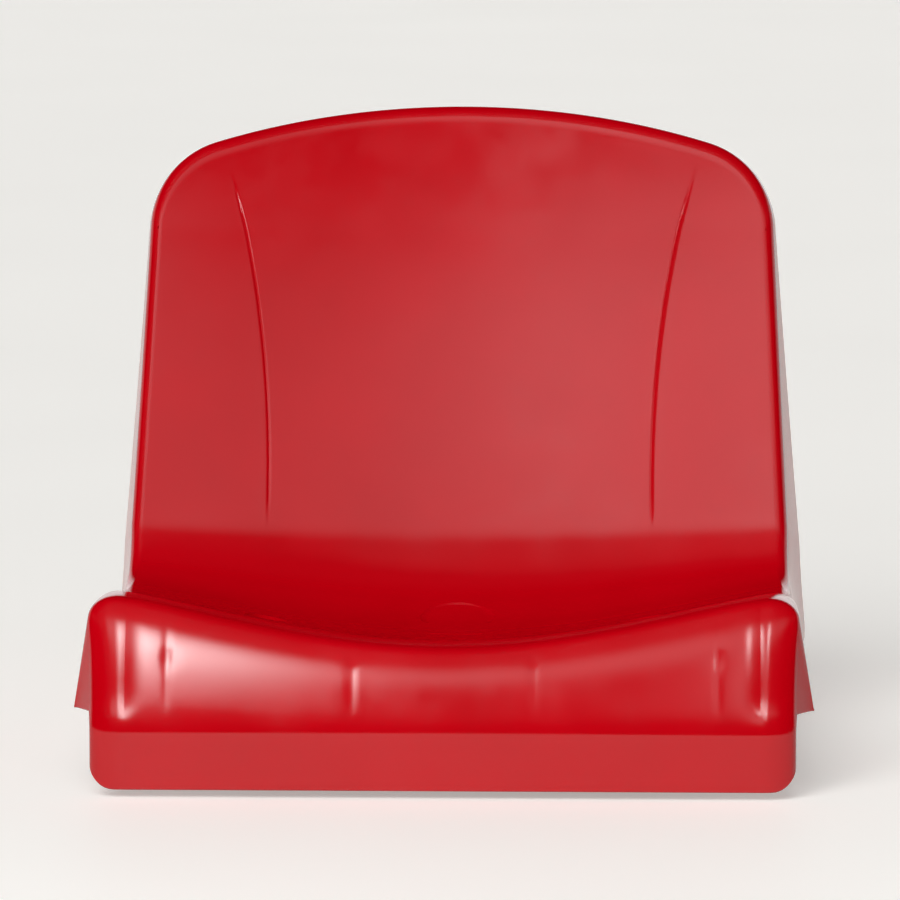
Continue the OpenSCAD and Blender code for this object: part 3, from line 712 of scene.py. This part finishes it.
def tube(rings, n, first=0):
    """Faces of a closed skin through rings of n points: both ends, then the sides."""
    b, e = np.meshgrid(np.arange(rings - 1), np.arange(n), indexing="ij")
    sides = quads(b * n + e, b * n + (e + 1) % n, (b + 1) * n + (e + 1) % n, (b + 1) * n + e)
    top = first + (rings - 1) * n
    ends = [list(range(first, first + n))[::-1], list(range(top, top + n))]
    return ends + (sides + first).tolist()


def slab(name, outline, axis, thick):
    """A flat outline in the two other axes' planes, given a thickness along one axis."""
    outline = np.asarray(outline, float)
    points = np.concatenate([np.insert(outline, axis, at, 1) for at in (-thick / 2, thick / 2)])
    faces = tube(2, len(outline))
    return make_piece(name, points, [f[::-1] for f in faces] if axis == 1 else faces)


def circle(radius, steps=ROUND_STEPS):
    a = np.arange(steps) * 2 * math.pi / steps
    return radius * np.stack([np.cos(a), np.sin(a)], -1)


long_profile = [(FRONT_Y - 1, RIB_LOW), (RISER_Y, RIB_LOW), (RISER_Y, 0), (RIB_END_Y, 0),
                (RIB_END_Y, RIB_TOP), (FRONT_Y - 1, RIB_TOP)]
cross_profile = [(-RIB_X[1], 0), (RIB_X[1], 0), (RIB_X[1], RIB_TOP), (-RIB_X[1], RIB_TOP)]
inner_ribs = repeat(slab("inner_ribs", long_profile, 0, RIB_T), 2, 2 * RIB_X[0], 1, 0)
outer_ribs = repeat(slab("outer_ribs", long_profile, 0, RIB_T), 2, 2 * RIB_X[1], 1, 0)
cross_ribs = repeat(slab("cross_ribs", cross_profile, 1, RIB_T), 1, 0, 2, FIX_DY)
end_rib = slab("end_rib", cross_profile, 1, RIB_T)
end_rib.data.transform(Matrix.Translation((0, (RIB_END_Y - RIB_T / 2) * MM, 0)))
bosses = slab("bosses", circle(BOSS_R), 2, RIB_TOP)
bosses.data.transform(Matrix.Translation((0, 0, RIB_TOP / 2 * MM)))
repeat(bosses, 2, FIX_DX, 2, FIX_DY)
print("volumes:", [volume_of(p)[0] for p in (inner_ribs, outer_ribs, cross_ribs, end_rib, bosses)])

# %% [markdown]
# The block is the face's own grid, half a wall down, closed by a flat floor. The Boolean modifier's
# manifold solver is quick and exact for closed meshes, so it joins and cuts everything here.

# %% Trim them under the pan and join them to the wall
BLOCK_LOW, RIB_LAST = -16.0, 4.4


def combine(piece, operation, *others):
    """Join, trim or cut a piece with others, which are then removed."""
    for other in others:
        modifier = piece.modifiers.new(other.name, "BOOLEAN")
        modifier.operation, modifier.solver, modifier.object = operation, "MANIFOLD", other
    settle(piece)
    for other in others:
        bpy.data.objects.remove(other)
    return piece


def closed_grid(name, top, low):
    """The space between a grid of points and a flat floor."""
    n, m = top.shape[:2]
    lid = top.reshape(-1, 3)
    points = np.concatenate([lid, np.column_stack([lid[:, :2], np.full(len(lid), low)])])
    faces = grid_faces(lambda a, b: a * m + b, n, m)
    border = np.concatenate([np.arange(n) * m, np.arange(1, m) + (n - 1) * m,
                             np.arange(n - 2, -1, -1) * m + m - 1, np.arange(m - 2, 0, -1)])
    nxt = np.roll(border, -1)
    sides = quads(border, border + n * m, nxt + n * m, nxt)
    return make_piece(name, points, np.concatenate([faces, faces[:, ::-1] + n * m, sides]))


under_rows = np.where((ROWS >= 1) & (ROWS <= RIB_LAST))[0][::2]
under_columns = np.unique(np.concatenate([np.arange(0, NC + 1, 2), [NC]]))
half_wall = FACE - WALL / 2 * FACE_N
block = closed_grid("block", half_wall[np.ix_(under_columns, under_rows)], BLOCK_LOW)
frame_work = combine(inner_ribs, "UNION", outer_ribs, cross_ribs, end_rib, bosses)
combine(frame_work, "INTERSECT", block)
print("ribs and bosses:", volume_of(frame_work))
combine(shell, "UNION", frame_work)
print("shell with ribs:", volume_of(shell))

# %% [markdown]
# Four round recesses let a socket reach the nuts, and a slot lets the rain out at the lowest point.
# A mould never leaves a knife edge, so each mouth has a small bevel that follows the curved pan.
# The cutter asks the finished surface for its height, by a ray from above, at every point of its
# outline.

# %% Cut the recesses, the bores and the drain slot
RECESS_R, FLOOR_T, BORE_R = 13.0, 6.0, 6.1
SLOT_L, SLOT_W = 34.0, 4.0
MOUTH_BEVEL, MOUTH_CLEAR = 0.6, 0.4
surface = BVHTree.FromPolygons([v.co for v in shell.data.vertices],
                               [p.vertices for p in shell.data.polygons])


def height_at(x, y):
    hit = surface.ray_cast(Vector((x, y, 1000.0)) * MM, Vector((0, 0, -1)))[0]
    return hit.z / MM


def mouth_cutter(name, outline, floor, bevel):
    """A cutter with upright sides, which widens by a bevel at the surface."""
    n = len(outline)
    tangent = np.roll(outline, -1, 0) - np.roll(outline, 1, 0)
    out = np.stack([tangent[:, 1], -tangent[:, 0]], -1)
    out /= length(out)
    wide = outline + (bevel + MOUTH_CLEAR) * out
    neck = [height_at(*p) - bevel for p in outline]
    mouth = [height_at(*p) + MOUTH_CLEAR for p in wide]
    rings = [(outline, [floor] * n), (outline, neck), (wide, mouth), (wide, [RIB_TOP] * n)]
    points = np.concatenate([np.column_stack([xy, z]) for xy, z in rings])
    return make_piece(name, points, tube(len(rings), n))


pan = np.linspace(2.2, 3.8, 2000)
DRAIN_Y = float(line(pan)[0][np.argmin(line(pan)[0][:, 1]), 0])
half_turn = np.linspace(-math.pi / 2, math.pi / 2, 25)
end = np.stack([np.cos(half_turn), np.sin(half_turn)], -1) * SLOT_W / 2 + [(SLOT_L - SLOT_W) / 2, 0]
slot_outline = np.concatenate([end, -end]) + [0, DRAIN_Y]
cutters = [mouth_cutter("drain", slot_outline, -1.0, MOUTH_BEVEL / 2)]
for x, y in ((-1, -1), (1, -1), (-1, 1), (1, 1)):
    place = np.array([x * FIX_DX / 2, y * FIX_DY / 2])
    cutters.append(mouth_cutter("recess", circle(RECESS_R) + place, FLOOR_T, MOUTH_BEVEL))
bores = slab("bores", circle(BORE_R), 2, 3 * FLOOR_T)
cutters.append(repeat(bores, 2, FIX_DX, 2, FIX_DY))
print("drain slot at y", round(DRAIN_Y, 1), "mm")

# %% [markdown]
# At the foot of the backrest a shallow oval is pressed into the heel, and it is empty. It follows
# the curve at the same depth all over, so its cutter is drawn on the face itself, in rings. The
# depth per ring gives the flat floor, the sloping edge and the part that stands clear of the face.

# %% Press the oval into the heel
OVAL_W, OVAL_L, OVAL_Y, OVAL_DEPTH = 48.0, 34.0, 121.0, 0.8
OVAL_RINGS = ((0.3, -1), (0.6, -1), (0.8, -1), (0.94, -1), (1.0, 0), (1.03, 0.5))
OVAL_STEPS = 96


def face_and_normal(v, s):
    small = 1e-3
    p = face_point(v, s)
    n = np.cross(face_point(v + small, s) - face_point(v - small, s),
                 face_point(v, s + small) - face_point(v, s - small))
    return p, n / length(n)


turn = np.arange(OVAL_STEPS) * 2 * math.pi / OVAL_STEPS
oval_points = []
for share, lift_by in ((0.0, -1),) + OVAL_RINGS:
    s = station_at(OVAL_Y + share * OVAL_L / 2 * np.sin(turn), 0, 3, 4)
    p, n = face_and_normal(share * OVAL_W / 2 * np.cos(turn) / half_face(s), s)
    ring_points = p + lift_by * OVAL_DEPTH * n
    oval_points.append(ring_points[:1] if share == 0 else ring_points)
oval_points.append(np.column_stack([oval_points[-1][:, :2], np.full(OVAL_STEPS, RIB_TOP)]))
fan = [[0, 1 + (e + 1) % OVAL_STEPS, 1 + e] for e in range(OVAL_STEPS)]
_, top, *sides = tube(len(OVAL_RINGS) + 1, OVAL_STEPS, 1)
oval = make_piece("oval", np.concatenate(oval_points), fan + sides + [top])
print("oval cutter:", volume_of(oval))
combine(shell, "DIFFERENCE", oval, *cutters)
print("finished shell:", volume_of(shell), len(shell.data.polygons), "faces")

# %% [markdown]
# An anchor is an M8 bar: a cone that spreads the clip, a thin neck, a plain shank in the hole, and
# a rolled thread above the step. The thread is one closed skin whose radius depends on the height
# and on the angle together, which makes the helix. It is simpler than a swept ridge and leaves no
# seam.

# %% The threaded anchors
EMBED, CONE_H, NECK_R, NECK_TOP, SHANK_R = 50.0, 6.0, 2.9, -32.0, 4.0
THREAD_PITCH, CREST_R, ROOT_R, THREAD_TOP, THREAD_CHAMFER = 1.25, 3.96, 3.3, 21.0, 0.9
FLANK_GAIN, FLANK_CUT, RUN_OUT = 1.25, 0.05, 1.5
TURN_STEPS, PITCH_STEPS = 30, 6


def lathe(name, radii, heights):
    """A closed skin from one ring of radii for each height. They may vary round a ring."""
    radii, heights = np.asarray(radii, float), np.asarray(heights, float)
    a = np.arange(TURN_STEPS) * 2 * math.pi / TURN_STEPS
    r = np.broadcast_to(radii.reshape(len(heights), -1), (len(heights), TURN_STEPS))
    z = np.broadcast_to(heights[:, None], r.shape)
    points = np.stack([r * np.cos(a), r * np.sin(a), z], -1).reshape(-1, 3)
    return make_piece(name, points, tube(len(heights), TURN_STEPS))


thread_z = np.arange(0, THREAD_TOP + 1e-6, THREAD_PITCH / PITCH_STEPS)
around = np.arange(TURN_STEPS) / TURN_STEPS
phase = (thread_z[:, None] / THREAD_PITCH - around) % 1
flank = np.clip(FLANK_GAIN * (1 - np.abs(2 * phase - 1)) - FLANK_CUT, 0, 1)
run_out = np.clip(thread_z / (RUN_OUT * THREAD_PITCH), 0, 1)[:, None]
thread_r = CREST_R - (CREST_R - ROOT_R) * (1 - flank) * run_out
chamfer = np.clip(thread_z - (THREAD_TOP - THREAD_CHAMFER), 0, None)[:, None]
thread_r = np.minimum(thread_r, CREST_R - chamfer)
foot_r = np.repeat([SHANK_R, NECK_R, NECK_R, SHANK_R, SHANK_R, CREST_R], TURN_STEPS)
foot_r = foot_r.reshape(-1, TURN_STEPS)
foot_z = [-EMBED, CONE_H - EMBED, NECK_TOP, NECK_TOP + 0.01, -0.3, -0.02]
anchors = lathe("anchors", np.concatenate([foot_r, thread_r]), np.concatenate([foot_z, thread_z]))
print("one anchor:", volume_of(anchors))

# %% [markdown]
# A cap snaps into each recess and hides the nut. It is turned on the same lathe: a thin skirt, a
# rounded shoulder and a face that sinks a little towards the gate mark in its middle. The front and
# the rear caps stand at different heights, which come from the CAD model.

# %% The caps over the nuts
CAP_R, CAP_H, CAP_T, CAP_ROUND = 12.9, 8.0, 1.5, 1.0
CAP_SINK, CAP_FACE_R, FACE_RINGS = 0.3, 11.5, (10.5, 9, 7, 5, 3.5, 2.2)


def cap_profile():
    """Radii and heights from the underside's middle, over the outside, to the face's middle."""
    bore, roof = CAP_R - CAP_T, CAP_H - CAP_T
    inside = [(0.05, roof), (bore - 0.4, roof), (bore, roof - 0.4), (bore, 0.2), (bore + 0.2, 0),
              (CAP_R - 0.2, 0), (CAP_R, 0.2)]
    turns = np.linspace(0, math.pi / 2, 7)
    shoulder = [(CAP_R - CAP_ROUND + CAP_ROUND * math.cos(a),
                 CAP_H - CAP_ROUND + CAP_ROUND * math.sin(a)) for a in turns]
    face = [(r, CAP_H - CAP_SINK * (1 - (r / CAP_FACE_R) ** 2)) for r in FACE_RINGS]
    gate = [(1.9, CAP_H - 0.5), (1.2, CAP_H - 0.5), (0.9, CAP_H - 0.35), (0.05, CAP_H - 0.3)]
    return np.array(inside + shoulder + face + gate)


def caps(name, nodes, y):
    r, z = cap_profile().T
    piece = lathe(name, r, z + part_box(nodes[0])[1].z / MM - CAP_H)
    piece.data.transform(Matrix.Translation((0, y * MM, 0)))
    return piece


CAP_NODES = {end: [end + "_left_bolt_cap", end + "_right_bolt_cap"] for end in ("front", "rear")}
front_caps = caps("front_caps", CAP_NODES["front"], -FIX_DY / 2)
rear_caps = caps("rear_caps", CAP_NODES["rear"], FIX_DY / 2)
print("a cap:", volume_of(front_caps))

# %% [markdown]
# The finishes come next. Colours are written as they look on a screen, in hex, and one function
# turns them into the linear values that Blender calculates with.

# %% Helpers for the finishes
def linear(hex_colour):
    """An sRGB colour in hex as linear values, and full alpha."""
    values = [int(hex_colour[n:n + 2], 16) / 255 for n in (1, 3, 5)]
    return *(v / 12.92 if v <= 0.04045 else ((v + 0.055) / 1.055) ** 2.4 for v in values), 1.0


def finish(name, **settings):
    """A material with one Principled BSDF, and Object coordinates in metres for its patterns."""
    material = bpy.data.materials.new(name)
    material.use_nodes = True
    tree = material.node_tree
    tree.nodes.clear()
    place = tree.nodes.new("ShaderNodeTexCoord").outputs["Object"]
    shader = add(tree, "ShaderNodeBsdfPrincipled", **settings)
    add(tree, "ShaderNodeOutputMaterial", Surface=shader)
    return material, tree, place, shader


def noise(tree, place, size_mm, detail, **settings):
    """Noise whose features are this many millimetres apart."""
    return add(tree, "ShaderNodeTexNoise", Vector=place, Scale=1 / (size_mm * MM), Detail=detail,
               **settings)


def spread(tree, value, low, high, to_low, to_high):
    """The values from low to high, spread over another range."""
    return add(tree, "ShaderNodeMapRange", i0=value, i1=low, i2=high, i3=to_low, i4=to_high)


def mix(tree, share, first, second):
    """A colour between two colours in hex."""
    return add(tree, "ShaderNodeMix", {"data_type": "RGBA"}, i0=share, i6=linear(first),
               i7=linear(second)).outputs[2]


def bump(tree, height, depth_mm, strength=1.0, **settings):
    return add(tree, "ShaderNodeBump", Strength=strength, Distance=depth_mm * MM, Height=height,
               **settings)


print("red in linear values:", [round(v, 3) for v in linear("#C00010")])

# %% [markdown]
# The shell is polypropylene, coloured through and injection-moulded in a polished steel mould. It
# is glossy, but less than glass: its skin has a very faint orange peel, it waves a little where the
# wall cooled unevenly, and years of sitting leave fine scuffs that dull it in patches. All of that
# is far less than a millimetre deep, so it is bump and roughness here, while the sink marks are
# real shape.

# %% Red polypropylene, moulded glossy
def red_plastic(name, base, shade, roughness):
    material, tree, place, shader = finish(name, IOR=1.49)
    tint = spread(tree, noise(tree, place, 90, 3.0), 0.35, 0.65, 0.0, 1.0)
    scuffs = noise(tree, place, 30, 4.0, Roughness=0.6)
    waves = bump(tree, noise(tree, place, 60, 0.0), 0.06)
    peel = bump(tree, noise(tree, place, 2.2, 1.0), 0.002, Normal=waves)
    plug(shader, Base_Color=mix(tree, tint, base, shade), Normal=peel,
         Roughness=spread(tree, scuffs, 0.4, 0.75, roughness, roughness + 0.06))
    return material


SHELL_PLASTIC = red_plastic("glossy_red_polypropylene", "#C00010", "#BA000E", 0.1)
CAP_PLASTIC = red_plastic("red_polypropylene_of_the_caps", "#BA000E", "#B2000C", 0.18)
print("finishes:", SHELL_PLASTIC.name, CAP_PLASTIC.name)

# %% [markdown]
# Anchors, washers, nuts and bushes are mild steel with bright zinc on it, which breaks up into
# cloudy grains of about a millimetre. The spring washers and clips are plain spring steel, rolled
# and a shade darker, with fine scratches along the strip. The sealing washers are matt black rubber
# with a dusty bloom.

# %% Zinc, spring steel and rubber
def zinc_plate():
    material, tree, place, shader = finish("bright_zinc_plated_steel", Metallic=1.0)
    cells = add(tree, "ShaderNodeTexVoronoi", Vector=place, Scale=1 / (0.9 * MM))
    grains = cells.outputs["Distance"]
    plug(shader, Base_Color=mix(tree, grains, "#D3D8DC", "#B3BAC2"),
         Roughness=spread(tree, noise(tree, place, 3.0, 4.0), 0.3, 0.7, 0.24, 0.42),
         Normal=bump(tree, grains, 0.01, 0.6))
    return material


def rolled_steel():
    material, tree, place, shader = finish("rolled_spring_steel", Metallic=1.0)
    flat = add(tree, "ShaderNodeMapping", i0=place, Scale=(1.0, 1.0, 12.0))
    lines = noise(tree, flat, 1.5, 5.0)
    plug(shader, Base_Color=mix(tree, lines, "#8E9399", "#A9AEB3"),
         Roughness=spread(tree, lines, 0.3, 0.7, 0.22, 0.4), Normal=bump(tree, lines, 0.01, 0.5))
    return material


def sealing_rubber():
    material, tree, place, shader = finish("matt_black_sealing_rubber", IOR=1.52)
    bloom = noise(tree, place, 4.0, 5.0)
    plug(shader, Base_Color=mix(tree, bloom, "#17171A", "#2B2B2D"),
         Roughness=spread(tree, bloom, 0.3, 0.7, 0.62, 0.8),
         Normal=bump(tree, noise(tree, place, 0.5, 2.0), 0.02, 0.7))
    return material


ZINC, SPRING_STEEL, RUBBER = zinc_plate(), rolled_steel(), sealing_rubber()
print("finishes:", ZINC.name, SPRING_STEEL.name, RUBBER.name)

# %% [markdown]
# Moulded faces shade smoothly, and one angle decides which edges stay sharp. Every new piece rides
# on the one body, and the CAD nodes that it replaces are hidden. The small hardware under the caps
# keeps its CAD form and only gets its finish.

# %% Give each piece its finish and its place in the frame
SHARP = math.radians(32)
CORNERS = ("front_left", "front_right", "rear_left", "rear_right")
HARDWARE = {"expansion_clip": SPRING_STEEL, "compression_bush": ZINC, "sealing_washer": RUBBER,
            "flat_washer": ZINC, "spring_washer": SPRING_STEEL, "hex_nut": ZINC}


def smooth(piece):
    piece.data.polygons.foreach_set("use_smooth", [True] * len(piece.data.polygons))
    piece.data.set_sharp_from_angle(angle=SHARP)


def paint(piece, material):
    piece.data.materials.clear()
    piece.data.materials.append(material)


repeat(anchors, 2, FIX_DX, 2, FIX_DY)
repeat(front_caps, 2, FIX_DX, 1, 0)
repeat(rear_caps, 2, FIX_DX, 1, 0)
for piece, slot, material, nodes in (
        (shell, "shell", SHELL_PLASTIC, ["seat_shell"]),
        (anchors, "zinc", ZINC, [c + "_anchor_stud" for c in CORNERS]),
        (front_caps, "cap", CAP_PLASTIC, CAP_NODES["front"]),
        (rear_caps, "cap", CAP_PLASTIC, CAP_NODES["rear"])):
    smooth(piece)
    paint(piece, material)
    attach(piece, BODY)
    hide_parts(*nodes)

for corner in CORNERS:
    for item, material in HARDWARE.items():
        paint(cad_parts[corner + "_" + item], material)
print("CAD nodes that are shown:", len(CORNERS) * len(HARDWARE), "of", len(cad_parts))

# %% [markdown]
# The studio is plain. A wide pale floor runs to the horizon and is all that shows behind the seat,
# so no backdrop is needed. It lies just below the anchors' feet, because the seat's concrete step
# isn't built. The camera and the gloss see it a little paler than it is lit, through the Light Path
# node, and it throws no more light on the seat for that.

# %% The floor
FLOOR_Z, FLOOR_R, FLOOR_STEPS, FLOOR_GLOW = -0.051, 14.0, 96, 0.45
floor_mesh = bpy.data.meshes.new("floor")
floor_ring = [(FLOOR_R * math.cos(a), FLOOR_R * math.sin(a), FLOOR_Z)
              for a in np.linspace(0, 2 * math.pi, FLOOR_STEPS, endpoint=False)]
floor_mesh.from_pydata(floor_ring, [], [list(range(FLOOR_STEPS))])
floor = new_object("floor", floor_mesh)
floor_paint, tree, place, shader = finish("matt_pale_floor_paint", IOR=1.45, Roughness=0.6)
pale = mix(tree, noise(tree, place, 500, 4.0), "#ECEAE6", "#E6E4E0")
rays = tree.nodes.new("ShaderNodeLightPath").outputs
seen = calc(tree, "MAXIMUM", rays["Is Camera Ray"], rays["Is Glossy Ray"])
plug(shader, Base_Color=pale, Emission_Color=pale,
     Emission_Strength=calc(tree, "MULTIPLY", seen, FLOOR_GLOW))
floor_mesh.materials.append(floor_paint)
floor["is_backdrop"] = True
print("floor radius:", FLOOR_R, "m")

# %% [markdown]
# Glossy plastic shows its surroundings, so what stands around it matters as much as what lights it.
# A wide sun gives the plain level of light, and three soft cards in front are there to be mirrored
# by the ends of the nose, where the photograph has its highlights. The cards are near, so the nose
# mirrors them and the backrest, which leans the same way but stands higher, looks over them. Each
# card fades out towards its edges like a bell, and its power is its radiance times pi times its
# area.

# %% The soft lights
CARD_AIM = (0.0, -0.15, 0.04)
CARDS = {"left_card": ((-0.34, -1.5, 0.65), 0.52, 0.44, 21.0),
         "right_card": ((0.25, -1.5, 0.50), 0.36, 0.36, 1.4),
         "right_edge_card": ((0.385, -1.5, 0.70), 0.12, 0.38, 19.0)}
KEY_POWER, KEY_WIDTH, KEY_WAY = 2.32, math.radians(50), (0.3, 1.0, -0.8)


def place_light(name, kind, way, **settings):
    """A new light that shines along a direction."""
    data = bpy.data.lights.new(name, kind)
    for setting, value in settings.items():
        setattr(data, setting, value)
    light = new_object(name, data)
    light.rotation_euler = facing(way)
    return light


def card(name, centre, width, height, radiance):
    light = place_light(name, "AREA", Vector(CARD_AIM) - Vector(centre), shape="RECTANGLE",
                        size=width, size_y=height, use_nodes=True,
                        energy=radiance * math.pi * width * height)
    light.location = centre
    light.visible_camera = False
    glow = light.data.node_tree
    glow.nodes.clear()
    spot = glow.nodes.new("ShaderNodeNewGeometry").outputs["Parametric"]
    sides = add(glow, "ShaderNodeSeparateXYZ", Vector=spot).outputs
    waves = [calc(glow, "SINE", calc(glow, "MULTIPLY", sides[axis], math.pi)) for axis in "XY"]
    bell = calc(glow, "POWER", calc(glow, "MULTIPLY", *waves), 2.0)
    shine = add(glow, "ShaderNodeEmission", Strength=bell)
    add(glow, "ShaderNodeOutputLight", Surface=shine)


for name, settings in CARDS.items():
    card(name, *settings)
key = place_light("key_light", "SUN", KEY_WAY, energy=KEY_POWER, angle=KEY_WIDTH)
key.visible_glossy = False

# %% [markdown]
# The world is a pale band in front, from about 22 to 30 degrees up, which the backrest mirrors. The
# backrest leans by 12 to 17 degrees and the camera looks down by 7, so each height of it mirrors
# its own part of the band, and the crown and the heel look past it into the dark. The band is
# brighter on the left, and it dips a little there. Behind the seat the world is bright low down, so
# that its back isn't dark, and dark higher up, which the nose's crest and the pan mirror. The stops
# are heights and places across.

# %% The world
BAND = ((0.0, 0.02), (0.372, 0.02), (0.41, 1.0), (0.46, 1.0), (0.505, 0.5), (0.56, 0.1),
        (0.85, 0.03))
BAND_ACROSS = ((0.0, 0.05), (0.28, 0.06), (0.315, 0.97), (0.35, 1.0), (0.65, 0.5), (0.70, 0.45),
               (0.80, 0.05))
BAND_DIP = -0.07
FRONT_LEVEL, BEHIND_LEVEL = 1.75, 1.0
world = bpy.data.worlds.new("studio")
bpy.context.scene.world = world
world.use_nodes = True
sky = world.node_tree
sky.nodes.clear()
direction = sky.nodes.new("ShaderNodeTexCoord").outputs["Generated"]
parts = add(sky, "ShaderNodeSeparateXYZ", Vector=direction).outputs


def levels(value, stops):
    """A grey ramp with a level at each position. The first position is 0."""
    ramp = add(sky, "ShaderNodeValToRGB", Fac=value)
    ramp.color_ramp.elements.remove(ramp.color_ramp.elements[1])
    for position, level in stops:
        stop = ramp.color_ramp.elements.new(position) if position else ramp.color_ramp.elements[0]
        stop.color = (level, level, level, 1)
    return ramp


dipped = calc(sky, "MULTIPLY_ADD", calc(sky, "MINIMUM", parts["X"], 0.0), BAND_DIP, parts["Z"])
place_across = spread(sky, parts["X"], -1.0, 1.0, 0.0, 1.0)
band = calc(sky, "MULTIPLY", levels(dipped, BAND), levels(place_across, BAND_ACROSS))
in_front = spread(sky, parts["Y"], -0.3, 0.0, FRONT_LEVEL, 0.0)
low_down = spread(sky, parts["Z"], 0.3, 0.5, BEHIND_LEVEL, 0.0)
behind = spread(sky, parts["Y"], 0.0, 0.4, 0.0, low_down)
background = add(sky, "ShaderNodeBackground", Color=(1, 1, 1, 1),
                 Strength=calc(sky, "MULTIPLY_ADD", band, in_front, behind))
add(sky, "ShaderNodeOutputWorld", Surface=background)
bpy.context.scene.view_settings.view_transform = "Standard"
print("band levels:", BAND)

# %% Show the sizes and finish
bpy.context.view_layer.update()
show_box("visual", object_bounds())
